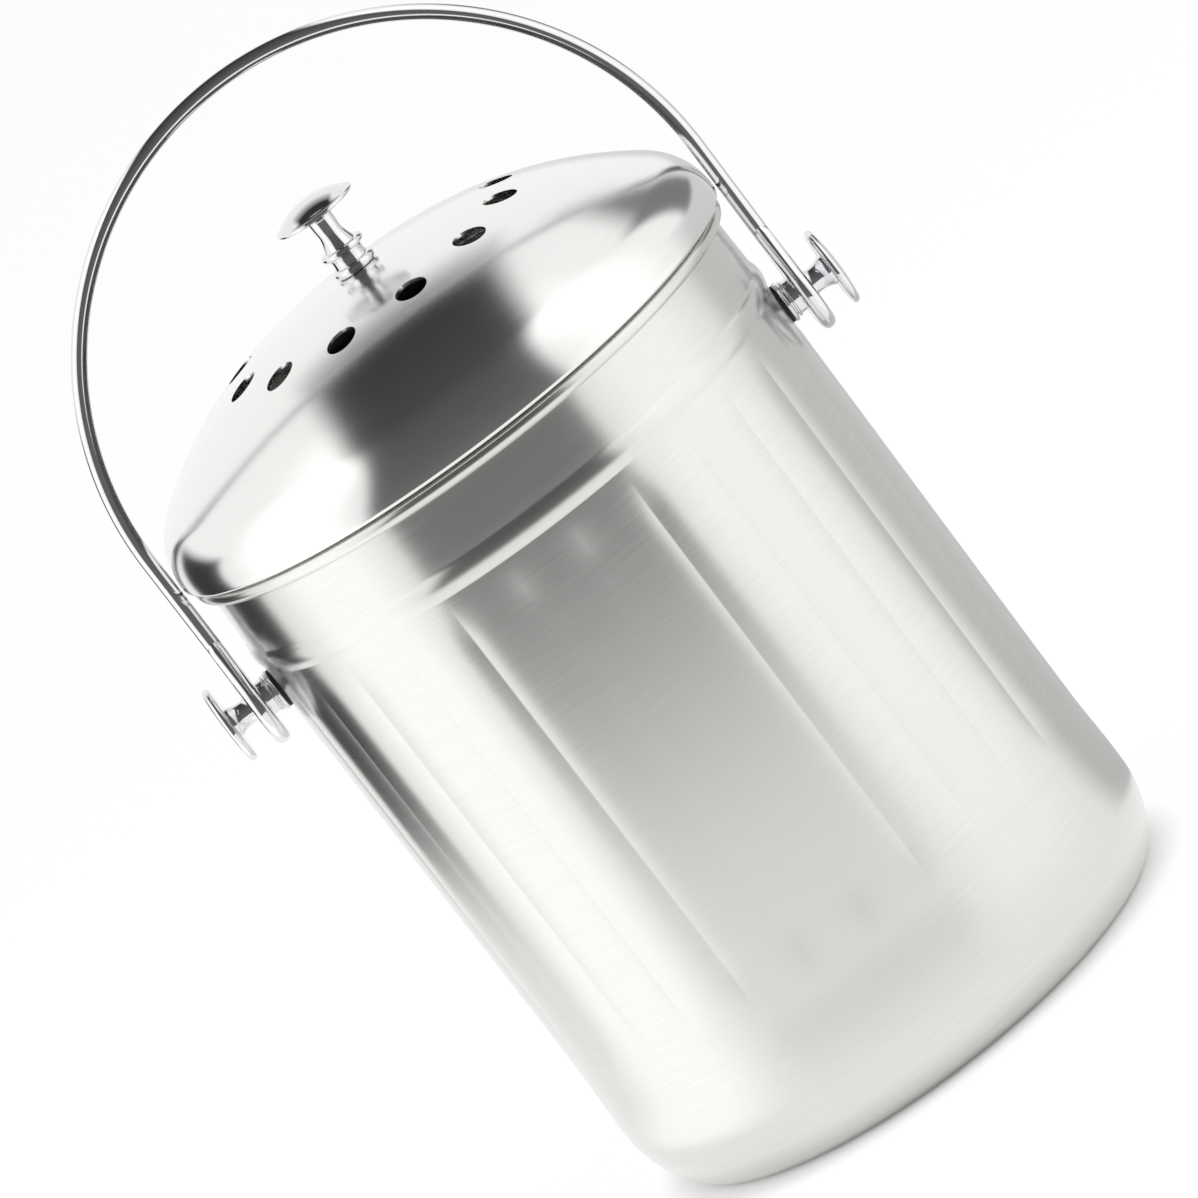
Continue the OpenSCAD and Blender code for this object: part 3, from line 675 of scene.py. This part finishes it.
def rib_tree(material):
    """Draws a turned wall into upright ribs that meet in creases, and presses a flat for each pivot."""
    tree, given, out = new_tree("Pail ribs", ["Rib Count"], [
        "Face Radius", "Turn", "Low", "Low Fade", "High", "High Fade", "Pivot Height", "Flat Radius",
        "Flat Fade", "Flat X"])
    inset = put(tree, "GeometryNodeInputNamedAttribute", {"Name": "inset"}, data_type="FLOAT").outputs[0]
    place = put(tree, "GeometryNodeInputPosition").outputs[0]
    x, y, z = put(tree, "ShaderNodeSeparateXYZ", {0: place}).outputs
    radius = hypot(tree, x, y)
    half = calc(tree, "DIVIDE", math.pi, given["Rib Count"])
    around = calc(tree, "SUBTRACT", calc(tree, "ARCTAN2", y, x), given["Turn"])
    angle = calc(tree, "WRAP", around, half, calc(tree, "MULTIPLY", half, -1.0))
    axis_r = calc(tree, "SUBTRACT", calc(tree, "ADD", radius, inset), given["Face Radius"])
    face_r = calc(tree, "SUBTRACT", given["Face Radius"], inset)
    aside = calc(tree, "MULTIPLY", axis_r, calc(tree, "SINE", angle))
    ahead = calc(tree, "MULTIPLY", axis_r, calc(tree, "COSINE", angle))
    beyond = calc(tree, "SQRT", calc(tree, "SUBTRACT", square(tree, face_r), square(tree, aside)))
    reach = calc(tree, "ADD", ahead, beyond)
    low_end = calc(tree, "ADD", given["Low"], given["Low Fade"])
    high_start = calc(tree, "SUBTRACT", given["High"], given["High Fade"])
    rising = remap(tree, z, (given["Low"], low_end), smooth=True)
    falling = remap(tree, z, (high_start, given["High"]), (1.0, 0.0), smooth=True)
    zone = calc(tree, "MULTIPLY", rising, falling)
    drawn = calc(tree, "MULTIPLY", zone, calc(tree, "SUBTRACT", reach, radius))
    grown = calc(tree, "DIVIDE", calc(tree, "ADD", radius, drawn), calc(tree, "MAXIMUM", radius, MM))
    ribbed = join_axes(tree, calc(tree, "MULTIPLY", x, grown), calc(tree, "MULTIPLY", y, grown), z)
    in_zone = calc(tree, "GREATER_THAN", zone, 0.0)
    ribs = put(tree, "GeometryNodeSetPosition", {
        "Geometry": given["Geometry"], "Selection": in_zone, "Position": ribbed}).outputs[0]
    away = hypot(tree, y, calc(tree, "SUBTRACT", z, given["Pivot Height"]))
    fade_end = calc(tree, "ADD", given["Flat Radius"], given["Flat Fade"])
    pressing = remap(tree, away, (given["Flat Radius"], fade_end), (1.0, 0.0), smooth=True)
    flat_x = calc(tree, "MULTIPLY", calc(tree, "SIGN", x), calc(tree, "SUBTRACT", given["Flat X"], inset))
    kept_x = calc(tree, "MULTIPLY", x, calc(tree, "SUBTRACT", 1.0, pressing))
    flat = join_axes(tree, calc(tree, "ADD", calc(tree, "MULTIPLY", flat_x, pressing), kept_x), y, z)
    near = calc(tree, "GREATER_THAN", pressing, 0.0)
    pressed = put(tree, "GeometryNodeSetPosition", {
        "Geometry": ribs, "Selection": near, "Position": flat}).outputs[0]
    close_tree(tree, pressed, material, out)
    return tree


class COMPOST_OT_pail(bpy.types.Operator):
    """Builds the ribbed pail with its rolled rim"""

    bl_idname = "compost.pail"
    bl_label = "Ribbed pail"

    def execute(self, context):
        s = context.scene.compost_pail
        outer, inner = pail_wall(s, 0.0), pail_wall(s, s.wall)
        centre_r = s.body_r - s.neck_draw - s.wall + s.rim_roll_r
        centre_z = PAIL_HIGH.z - s.rim_roll_r
        end = math.degrees(s.rim_end)
        curl = arc(centre_r, centre_z, s.rim_roll_r - s.wall, 180, end, 14)
        curl += arc(centre_r, centre_z, s.rim_roll_r, end, 180, 24)
        profile = outer[:-1] + curl + inner[::-1][1:]
        insets = [0.0] * (len(outer) - 1 + len(curl)) + [s.wall] * (len(inner) - 1)
        shares = [i / s.columns_per_rib for i in range(s.columns_per_rib)]
        closer = [t - s.crease_focus * math.sin(2 * math.pi * t) / (2 * math.pi) for t in shares]
        steps = [k + 0.5 + t for k in range(s.rib_count) for t in closer]
        angles = [s.rib_turn + 2 * math.pi * step / s.rib_count for step in steps]
        pail = new_object("ribbed_pail", lathe(profile, angles, insets))
        apply_tree(pail, rib_tree(finish("sheet")), {
            "Rib Count": s.rib_count, "Face Radius": s.rib_face_r, "Turn": s.rib_turn,
            "Low": s.rib_foot_z, "Low Fade": s.rib_foot_fade,
            "High": PAIL_HIGH.z - s.rib_top_drop, "High Fade": s.rib_top_fade,
            "Pivot Height": PIVOT_Z, "Flat Radius": s.land_r, "Flat Fade": s.land_fade,
            "Flat X": GASKET_LOW.x})
        stand_for(pail, "pail_shell", finish("sheet"))
        return {"FINISHED"}


# Lid

def lid_wall(s, inset):
    """Profile of the dome from its lower edge in to the screw hole, inset from its outer face."""
    band = LID_HIGH.x
    bend_c = band - s.bend_r
    bend_z = LID_LOW.z + s.band_h
    crown_turn = math.asin(s.crown_reach / s.crown_r)
    shoulder_c = s.crown_reach - s.shoulder_r * math.sin(crown_turn)
    bend_turn = math.asin((bend_c - shoulder_c) / (s.shoulder_r - s.bend_r))
    shoulder_z = bend_z - (s.shoulder_r - s.bend_r) * math.cos(bend_turn)
    crown_z = shoulder_z - (s.crown_r - s.shoulder_r) * math.cos(crown_turn)
    flat_z = crown_z + math.sqrt(s.crown_r ** 2 - s.flat_r ** 2)
    crown_inner = s.crown_r - inset
    flat_edge = math.degrees(math.acos((flat_z - inset - crown_z) / crown_inner))
    bend_end = 90 - math.degrees(bend_turn)
    crown_start = 90 - math.degrees(crown_turn)
    start = (band - inset, LID_LOW.z + s.hem_r)
    points = [start] + span(start, (band - inset, bend_z), 2)
    points += arc(bend_c, bend_z, s.bend_r - inset, 0, bend_end, 20)
    points += arc(shoulder_c, shoulder_z, s.shoulder_r - inset, bend_end, crown_start, 26)
    points += arc(0, crown_z, crown_inner, crown_start, 90 - flat_edge, 12)
    points += span(points[-1], (s.hole_d / 2, flat_z - inset), 4)
    return tidy(points)


def vent_tree(material):
    """Cuts a ring of round vents through the dome."""
    tree, given, out = new_tree(
        "Lid vents", ["Vent Count"], ["Vent Radius", "Ring Radius", "Turn", "Height", "Depth"])
    ring = put(tree, "GeometryNodeMeshCircle", {
        "Vertices": given["Vent Count"], "Radius": given["Ring Radius"]}).outputs[0]
    punch = put(tree, "GeometryNodeMeshCylinder", {
        "Vertices": 48, "Radius": given["Vent Radius"], "Depth": given["Depth"]}).outputs[0]
    punches = put(tree, "GeometryNodeInstanceOnPoints", {"Points": ring, "Instance": punch}).outputs[0]
    placed = put(tree, "GeometryNodeTransform", {
        "Geometry": punches, "Translation": join_axes(tree, 0.0, 0.0, given["Height"]),
        "Rotation": join_axes(tree, 0.0, 0.0, given["Turn"])}).outputs[0]
    solid = put(tree, "GeometryNodeRealizeInstances", {"Geometry": placed}).outputs[0]
    cut = put(tree, "GeometryNodeMeshBoolean", operation="DIFFERENCE")
    tree.links.new(given["Geometry"], cut.inputs["Mesh 1"])
    tree.links.new(solid, cut.inputs["Mesh 2"])
    close_tree(tree, cut.outputs[0], material, out)
    return tree


def keep_smooth(obj, smooth_mesh, least=0.85):
    """Gives a cut mesh the shading of the mesh that it was cut from, except on the walls of its cuts."""
    form = bmesh.new()
    form.from_mesh(smooth_mesh)
    form.normal_update()
    form.faces.ensure_lookup_table()
    search = BVHTree.FromBMesh(form)
    mesh = obj.data
    normals = [None] * len(mesh.loops)
    for polygon in mesh.polygons:
        for k in polygon.loop_indices:
            place = mesh.vertices[mesh.loops[k].vertex_index].co
            inside = place + (polygon.center - place) * 0.02
            hit, flat, index, _ = search.find_nearest(inside)
            corners = form.faces[index].verts
            weights = [1 / ((hit - v.co).length + 1e-6) for v in corners]
            soft = sum((v.normal * w for v, w in zip(corners, weights)), Vector()).normalized()
            normals[k] = soft if polygon.normal.dot(flat) > least else polygon.normal.copy()
    form.free()
    mesh.normals_split_custom_set(normals)


class COMPOST_OT_lid(bpy.types.Operator):
    """Builds the domed lid with its rolled edge and vents"""

    bl_idname = "compost.lid"
    bl_label = "Domed lid"

    def execute(self, context):
        s = context.scene.compost_lid
        outer, inner = lid_wall(s, 0.0), lid_wall(s, s.wall)
        tuck = 2 * math.asin(math.sqrt(s.wall / (2 * s.hem_r)))
        start = math.degrees(tuck) - 360
        hem = arc(LID_HIGH.x - s.hem_r, LID_LOW.z + s.hem_r, s.hem_r, start, 0, 28)
        profile = tidy(inner[::-1][:-1] + hem + outer[1:])
        mesh = lathe(profile, even(s.columns))
        smooth_mesh = mesh.copy()
        lid = new_object("domed_lid", mesh)
        apply_tree(lid, vent_tree(finish("satin")), {
            "Vent Count": s.vent_count, "Vent Radius": s.vent_d / 2, "Ring Radius": s.vent_ring_r,
            "Turn": s.vent_turn, "Height": LID_HIGH.z, "Depth": 40 * MM})
        keep_smooth(lid, smooth_mesh)
        bpy.data.meshes.remove(smooth_mesh)
        stand_for(lid, "lid_dome", finish("satin"))
        finish_node("lid_skirt", finish("sheet"))
        finish_node("filter_clips", finish("sheet"))
        return {"FINISHED"}


# Bail

def paddle(s, x):
    """The flat paddle at one end of the bail, round its eye, with rounded edges."""
    half_w = s.paddle_top_w / 2
    reach = math.hypot(s.paddle_h, half_w)
    touch = math.atan2(s.paddle_h, half_w) - math.acos(s.paddle_r / reach)
    corner = math.atan2(s.paddle_h, half_w)
    steps = 160
    side_a = Vector((s.paddle_r * math.cos(touch), s.paddle_r * math.sin(touch)))
    side_b = Vector((half_w, s.paddle_h))
    across = Vector((side_b.y - side_a.y, side_a.x - side_b.x)).normalized()
    side_far = side_a.dot(across)

    def outline(angle):
        """Distance of the outline from the eye's axis at an angle from straight across."""
        bent = abs(math.pi / 2 - abs(math.remainder(angle - math.pi / 2, 2 * math.pi)))
        up = math.sin(angle) > 0
        if not up or bent < touch:
            return s.paddle_r
        if bent > corner:
            return s.paddle_h / math.sin(bent)
        return side_far / (math.cos(bent) * across.x + math.sin(bent) * across.y)

    form = bmesh.new()
    half_t, edge, bore_r = s.paddle_t / 2, s.paddle_edge, s.eye_d / 2
    rows = [(r - edge, z + edge - half_t) for r, z in arc(0, 0, edge, -90, 0, 4)]
    rows += [(r - edge, z - edge + half_t) for r, z in arc(0, 0, edge, 0, 90, 4)]
    rings = []
    for past_outline, along in [(None, -half_t), *rows, (None, half_t)]:
        ring = []
        for a in even(steps):
            radius = bore_r if past_outline is None else outline(a) + past_outline
            ring.append(form.verts.new((x + along, radius * math.cos(a), PIVOT_Z + radius * math.sin(a))))
        rings.append(ring)
    bridge(form, rings, closed=True)
    return as_mesh(form, "paddle")


class COMPOST_OT_bail(bpy.types.Operator):
    """Builds the bail: one bent rod with a flat paddle at each end"""

    bl_idname = "compost.bail"
    bl_label = "Bail"

    def execute(self, context):
        s = context.scene.compost_bail
        leg_x = BAIL_HIGH.x - s.rod_d / 2
        arch_z = BAIL_HIGH.z - s.rod_d / 2 - leg_x
        foot_z = PIVOT_Z + s.paddle_h - s.rod_d
        side = Vector((0, 1, 0))
        leg = [(leg_x, foot_z)] + span((leg_x, foot_z), (leg_x, arch_z), 6)[:-1]
        path = leg + arc(0, arch_z, leg_x, 0, 180, 120) + [(-x, z) for x, z in reversed(leg)]
        rod = tube([Vector((x, 0, z)) for x, z in path], side, s.rod_d / 2)
        bail = joined("steel_bail", [rod, paddle(s, leg_x), paddle(s, -leg_x)])
        stand_for(bail, "bail_handle", finish("chrome"))
        return {"FINISHED"}


# Turned parts

def collar_profile(s):
    """The turned collar from its seat outwards: two rings, a neck and the sleeve inside the bail's eye."""
    ring_r = (COLLAR_HIGH.z - COLLAR_LOW.z) / 2
    neck_r = s.collar_neck_d / 2
    height = COLLAR_HIGH.x - COLLAR_LOW.x - s.sleeve_h
    inner_r = neck_r - s.collar_groove
    lesser_z = s.collar_ring_h + s.collar_groove
    lesser_top = lesser_z + s.lesser_ring_h
    points = [(s.bore_d / 2, 0)] + ring_edge(ring_r, 0, s.collar_ring_h)
    points += [(inner_r, s.collar_ring_h), (inner_r, lesser_z)]
    points += ring_edge((ring_r + neck_r) / 2, lesser_z, s.lesser_ring_h)
    points += [(neck_r, lesser_top), (neck_r, height), (s.sleeve_d / 2, height)]
    points += [(s.sleeve_d / 2, height + s.sleeve_h), (s.bore_d / 2, height + s.sleeve_h)]
    return tidy(points)


def side_knob_profile(s):
    """The pivot knob from its seat outwards: a waisted post and a wide domed cap."""
    cap_r = (SIDE_KNOB_HIGH.z - SIDE_KNOB_LOW.z) / 2
    waist = (s.side_waist_r, s.side_post_h / 2)
    points = [(0, s.tapped_h), (s.tapped_d / 2, s.tapped_h), (s.tapped_d / 2, 0)]
    points += bend((s.side_foot_r, 0), waist, (s.side_flare_r, s.side_post_h - s.flare_h))
    points += [(s.side_flare_r, s.side_post_h)] + ring_edge(cap_r, s.side_post_h, s.side_cap_edge)
    points += low_dome(cap_r - s.side_cap_edge / 2, s.side_post_h + s.side_cap_edge, s.side_cap_rise)
    return tidy(points)


def lid_knob_profile(s):
    """The lid knob from its seat upwards: two rings, a slim stem and a domed cap."""
    upper_z = s.foot_ring_h + s.hollow_h
    stem_z = upper_z + s.upper_ring_h
    cap_z = stem_z + s.stem_h
    cap_r = LID_KNOB_HIGH.x
    hollow_r, stem_r = s.hollow_d / 2, s.stem_d / 2
    hollow_draw, foot_swell, waist_draw, neck_swell, cap_swell = [t * MM for t in (0.4, 1.2, 0.3, 0.1, 1)]
    hollow_middle = (hollow_r - hollow_draw, (s.foot_ring_h + upper_z) / 2)
    waist = (stem_r - waist_draw, stem_z + s.stem_h / 3)
    neck_r = stem_r + neck_swell
    points = [(0, s.tapped_h), (s.tapped_d / 2, s.tapped_h), (s.tapped_d / 2, 0)]
    points += ring_edge(s.foot_ring_d / 2, 0, s.foot_ring_h)
    points += bend((hollow_r, s.foot_ring_h), hollow_middle, (hollow_r, upper_z))
    points += ring_edge(s.upper_ring_d / 2, upper_z, s.upper_ring_h)
    points += bend((stem_r + foot_swell, stem_z), waist, (stem_r, stem_z + s.stem_h / 2))
    points += bend((neck_r, cap_z - s.stem_h / 3), (neck_r, cap_z - s.flare_h), (stem_r + cap_swell, cap_z))
    points += ring_edge(cap_r, cap_z, s.lid_cap_edge)
    points += low_dome(cap_r - s.lid_cap_edge / 2, cap_z + s.lid_cap_edge, s.lid_cap_rise)
    return tidy(points)


def turned_piece(name, node, profile, seat, columns=96):
    """A chrome turning whose own Z is carried to its seat."""
    mesh = lathe(profile, even(columns))
    mesh.transform(seat)
    stand_for(new_object(name, mesh), node, finish("chrome"))


def pivot_seat(side, x):
    """Carries a turning's own Z outwards from the pail at the pivot."""
    return Matrix.Translation((side * x, 0, PIVOT_Z)) @ Matrix.Rotation(side * math.pi / 2, 4, "Y")


class COMPOST_OT_pivots(bpy.types.Operator):
    """Builds both pivots: collar and knob, and finishes the gasket"""

    bl_idname = "compost.pivots"
    bl_label = "Pivots"

    def execute(self, context):
        s = context.scene.compost_turned
        for name, side in (("left", -1), ("right", 1)):
            collar_seat, knob_seat = pivot_seat(side, COLLAR_LOW.x), pivot_seat(side, SIDE_KNOB_LOW.x)
            turned_piece(f"{name}_collar", f"{name}_pivot_collar", collar_profile(s), collar_seat)
            turned_piece(f"{name}_knob", f"{name}_pivot_knob", side_knob_profile(s), knob_seat)
            finish_node(f"{name}_pivot_gasket", finish("rubber"))
        return {"FINISHED"}


class COMPOST_OT_lid_knob(bpy.types.Operator):
    """Builds the lid's turned knob"""

    bl_idname = "compost.lid_knob"
    bl_label = "Lid knob"

    def execute(self, context):
        s = context.scene.compost_turned
        seat = Matrix.Translation((0, 0, LID_KNOB_LOW.z))
        turned_piece("lid_top_knob", "lid_knob", lid_knob_profile(s), seat)
        return {"FINISHED"}


class COMPOST_OT_fasteners(bpy.types.Operator):
    """Finishes the screws and washers"""

    bl_idname = "compost.fasteners"
    bl_label = "Screws and washers"

    def execute(self, context):
        for node in ("left_pivot_screw", "right_pivot_screw", "left_inner_washer", "right_inner_washer",
                     "lid_knob_screw", "lid_knob_washer"):
            finish_node(node, finish("zinc"))
        return {"FINISHED"}


# Filter

def tuft(x, y):
    """Unevenness of the felt at a place: crossing waves of 5 to 17 mm, from about -1.5 to 1.5."""
    return math.sin(x * 410) * math.sin(y * 370 + 1.3) + 0.5 * math.sin(x * 930 + y * 760)


class COMPOST_OT_filter(bpy.types.Operator):
    """Builds the charcoal pad on its tray"""

    bl_idname = "compost.filter"
    bl_label = "Charcoal filter"

    def execute(self, context):
        s = context.scene.compost_filter
        radius = PAD_HIGH.x
        height = PAD_HIGH.z - PAD_LOW.z
        side_h = height - s.crown
        flat_r = radius - s.edge_r
        under = [(0, 0)] + span((0, 0), (flat_r, 0), 24)
        edge = arc(flat_r, s.edge_r, s.edge_r, -90, 0, 6) + arc(flat_r, side_h - s.edge_r, s.edge_r, 0, 90, 6)
        crown = low_dome(flat_r, side_h, s.crown, 40)
        seam_r, seam_w = radius - s.seam_inset, 1.2 * MM
        pressed = [(r, z - s.seam_depth * math.exp(-((r - seam_r) / seam_w) ** 2)) for r, z in crown]
        mesh = lathe(tidy(under + edge + pressed), even(180))
        tuft_depth = 0.1 * MM
        for v in mesh.vertices:
            if v.co.z > height / 2:
                v.co.z -= tuft_depth * (1 + tuft(v.co.x, v.co.y) / 1.5)
        mesh.transform(Matrix.Translation((0, 0, PAD_LOW.z)))
        pad = new_object("charcoal_pad", mesh, 60)
        stand_for(pad, "charcoal_filter", finish("felt"))
        finish_node("filter_tray", finish("plastic"))
        return {"FINISHED"}


# Stage

def seen_white(tree):
    """1 for the rays that see the background straight, mirrored or through glass, otherwise 0."""
    rays = put(tree, "ShaderNodeLightPath").outputs
    mirrored = calc(tree, "ADD", rays["Is Glossy Ray"], rays["Is Transmission Ray"])
    return calc(tree, "ADD", rays["Is Camera Ray"], mirrored, clamp=True)


def staged(name, data):
    """An object of the stage, linked to the scene."""
    obj = bpy.data.objects.new(name, data)
    bpy.context.scene.collection.objects.link(obj)
    return obj


def studio_floor(s):
    """A wide pale floor that reads white, with a soft contact shadow under the pail: painted into its glow,
    and faintly cast on its diffuse share.
    """
    form = bmesh.new()
    bmesh.ops.create_grid(form, x_segments=1, y_segments=1, size=30.0)
    floor = staged("floor", as_mesh(form, "floor", outwards=False))
    material, tree, shader, place = new_material("studio_floor")
    fill(tree, shader, {
        "Base Color": (*s.floor_colour, 1), "Roughness": 0.9, "Specular IOR Level": 0.0})
    glow = put(tree, "ShaderNodeEmission", {"Color": (1, 1, 1, 1), "Strength": 1.06}).outputs[0]
    from_middle = put(tree, "ShaderNodeVectorMath", {0: place}, operation="LENGTH").outputs["Value"]
    # Painted contact shadow: the floor's glow, seen straight and in reflections, drops to a tenth towards the
    # middle under the pail.
    glow_past_painted_shadow = remap(tree, from_middle, (s.contact_low, s.contact_high), (0.1, 1.0), smooth=True)
    glowing = calc(tree, "MULTIPLY", calc(tree, "MULTIPLY", seen_white(tree), glow_past_painted_shadow), 0.85)
    mix = put(tree, "ShaderNodeMixShader", {0: glowing, 1: shader.outputs[0], 2: glow}).outputs[0]
    output = next(n for n in tree.nodes if n.type == "OUTPUT_MATERIAL")
    tree.links.new(mix, output.inputs["Surface"])
    floor.data.materials.append(material)


def card_material(name):
    """A glow of the strength in the attribute level, over the share in the attribute cover, else clear."""
    material = bpy.data.materials.new(name)
    material.use_nodes = True
    tree = material.node_tree
    tree.nodes.clear()
    strength = put(tree, "ShaderNodeAttribute", attribute_name="level").outputs["Fac"]
    cover = put(tree, "ShaderNodeAttribute", attribute_name="cover").outputs["Fac"]
    glow = put(tree, "ShaderNodeEmission", {"Color": (1, 1, 1, 1), "Strength": strength}).outputs[0]
    clear = put(tree, "ShaderNodeBsdfTransparent").outputs[0]
    mix = put(tree, "ShaderNodeMixShader", {0: cover, 1: clear, 2: glow}).outputs[0]
    put(tree, "ShaderNodeOutputMaterial", {"Surface": mix})
    return material


def studio_card(name, facing, left, right, reach, distance, level, soft, end_soft):
    """A card that only reflections see. It stands off the pail, facing degrees round from the front (-Y)
    towards +X, bent round it and arched over it, and what would lie under the floor lies on the floor.
    left and right give its sides in degrees from its middle, at its foot and at its far end, and reach the
    angles above the horizon where it starts and ends. It fades out over soft degrees at its sides and
    end_soft at its far end. level goes from its foot to its far end."""
    form = bmesh.new()
    cover = form.verts.layers.float.new("cover")
    tone = form.verts.layers.float.new("level")
    steps, rows = 48, 72
    eye_z, floor_z = 120 * MM, 1 * MM
    turned = math.radians(facing)
    outwards = Vector((math.sin(turned), -math.cos(turned), 0))
    aside = Vector((math.cos(turned), math.sin(turned), 0))
    grid = []
    for j in range(rows + 1):
        t = j / rows
        rise = reach[0] + (reach[1] - reach[0]) * t
        up = math.radians(rise)
        low, high = [a + (b - a) * t for a, b in (left, right)]
        away = distance
        if rise <= 0:
            away = min(distance, (eye_z - floor_z) / max(math.sin(-up), 0.01))
        row = []
        for i in range(steps + 1):
            side = -low + (low + high) * i / steps
            a = math.radians(side)
            level_part = outwards * away * math.cos(up) * math.cos(a) + aside * away * math.sin(a)
            v = form.verts.new(level_part + Vector((0, 0, eye_z + away * math.sin(up))))
            v[cover] = min(1.0, (side + low) / soft, (high - side) / soft, (reach[1] - rise) / end_soft)
            v[tone] = level[0] + (level[1] - level[0]) * t
            row.append(v)
        grid.append(row)
    for low, high in zip(grid, grid[1:]):
        for i in range(steps):
            form.faces.new((low[i], low[i + 1], high[i + 1], high[i]))
    card = staged(name, as_mesh(form, name, outwards=False))
    card.data.materials.append(card_material(name))
    card.visible_camera = False
    card.visible_diffuse = False
    card.visible_transmission = False
    card.visible_shadow = False


def softbox(name, azimuth, rise=22, distance=1.3, wide=1.0, tall=1.3, power=9):
    """A soft area lamp aimed at the pail, azimuth degrees round from the front (-Y) towards +X."""
    lamp = bpy.data.lights.new(name, "AREA")
    lamp.shape = "RECTANGLE"
    lamp.size, lamp.size_y, lamp.energy = wide, tall, power
    obj = staged(name, lamp)
    a, e = math.radians(azimuth - 90), math.radians(rise)
    back = Vector((math.cos(a) * math.cos(e), math.sin(a) * math.cos(e), math.sin(e)))
    obj.location = Vector((0, 0, 150 * MM)) + back * distance
    obj.rotation_euler = back.to_track_quat("Z", "Y").to_euler()
    obj.visible_camera = False
    obj.visible_glossy = False


def white_world():
    """A world that reads white where it is seen and lights the object softly."""
    world = bpy.data.worlds.new("studio")
    bpy.context.scene.world = world
    world.use_nodes = True
    tree = world.node_tree
    tree.nodes.clear()
    strength = remap(tree, seen_white(tree), (0.0, 1.0), (0.55, 1.0))
    light = put(tree, "ShaderNodeBackground", {"Color": (1, 1, 1, 1), "Strength": strength}).outputs[0]
    put(tree, "ShaderNodeOutputWorld", {"Surface": light})


def studio_camera(s):
    """The camera at the photograph's angle, rolled so that the pail leans to the left."""
    data = bpy.data.cameras.new("camera")
    data.lens = s.lens
    data.sensor_width = 36.0
    data.clip_end = 100.0
    camera = staged("camera", data)
    ahead = Vector((0, math.cos(s.elevation), -math.sin(s.elevation)))
    level_up = Vector((0, math.sin(s.elevation), math.cos(s.elevation)))
    right = math.cos(s.roll) * Vector((1, 0, 0)) + math.sin(s.roll) * level_up
    up = math.cos(s.roll) * level_up - math.sin(s.roll) * Vector((1, 0, 0))
    place = Vector((s.target_x, 0, s.target_z)) - ahead * s.distance
    turned = Matrix((right, up, -ahead)).transposed().to_4x4()
    camera.matrix_world = Matrix.Translation(place) @ turned
    bpy.context.scene.camera = camera


class COMPOST_OT_stage(bpy.types.Operator):
    """Sets up the floor, lamps, cards, white surroundings and the camera"""

    bl_idname = "compost.stage"
    bl_label = "Studio stage"

    def execute(self, context):
        s = context.scene.compost_stage
        context.scene.view_settings.view_transform = "Standard"
        white_world()
        studio_floor(s)
        softbox("left_softbox", azimuth=-82)
        softbox("right_softbox", azimuth=70)
        studio_card("front_card", facing=0, left=(51, 13), right=(36, 15), reach=(-11, 134),
                    distance=0.62, level=(0.15, 0.012), soft=5, end_soft=20)
        studio_card("left_back_card", facing=-127, left=(15, 15), right=(15, 15), reach=(-13, 24),
                    distance=0.55, level=(0.03, 0.03), soft=3, end_soft=6)
        studio_card("right_back_card", facing=141, left=(44, 44), right=(41, 41), reach=(-50, 14),
                    distance=0.9, level=(0.55, 0.7), soft=14, end_soft=6)
        studio_card("right_upper_card", facing=130, left=(16, 16), right=(16, 16), reach=(10, 48),
                    distance=0.8, level=(0.2, 0.2), soft=6, end_soft=8)
        studio_card("left_reflector", facing=-78, left=(30, 30), right=(28, 28), reach=(-45, 88),
                    distance=1.0, level=(1.3, 1.3), soft=17, end_soft=12)
        studio_card("right_reflector", facing=64, left=(29, 29), right=(29, 29), reach=(-30, 80),
                    distance=1.0, level=(1.15, 1.3), soft=18, end_soft=12)
        studio_camera(s)
        return {"FINISHED"}


class COMPOST_PT_panel(bpy.types.Panel):
    """Lists the operators that build the compost pail"""

    bl_label = "Compost pail"
    bl_space_type = "VIEW_3D"
    bl_region_type = "UI"
    bl_category = "Compost pail"

    def draw(self, context):
        for operator in OPERATORS:
            self.layout.operator(operator.bl_idname)


GROUPS = {
    "compost_pail": CompostPailSizes,
    "compost_lid": CompostLidSizes,
    "compost_bail": CompostBailSizes,
    "compost_turned": CompostTurnedSizes,
    "compost_filter": CompostFilterSizes,
    "compost_finishes": CompostFinishes,
    "compost_stage": CompostStage,
}
OPERATORS = (COMPOST_OT_pail, COMPOST_OT_lid, COMPOST_OT_bail, COMPOST_OT_pivots, COMPOST_OT_lid_knob,
             COMPOST_OT_fasteners, COMPOST_OT_filter, COMPOST_OT_stage)


def register():
    """Registers the classes and hangs the sizes on the scene."""
    for name, group in GROUPS.items():
        bpy.utils.register_class(group)
        setattr(bpy.types.Scene, name, PointerProperty(type=group))
    for cls in (*OPERATORS, COMPOST_PT_panel):
        bpy.utils.register_class(cls)


def unregister():
    """Takes the classes and the sizes away again."""
    for cls in (COMPOST_PT_panel, *reversed(OPERATORS)):
        bpy.utils.unregister_class(cls)
    for name, group in reversed(GROUPS.items()):
        delattr(bpy.types.Scene, name)
        bpy.utils.unregister_class(group)


def main():
    """Builds the pieces and the stage."""
    register()
    bpy.ops.compost.pail()
    bpy.ops.compost.lid()
    bpy.ops.compost.bail()
    bpy.ops.compost.pivots()
    bpy.ops.compost.lid_knob()
    bpy.ops.compost.fasteners()
    bpy.ops.compost.filter()
    bpy.ops.compost.stage()


if __name__ == "__main__":
    main()
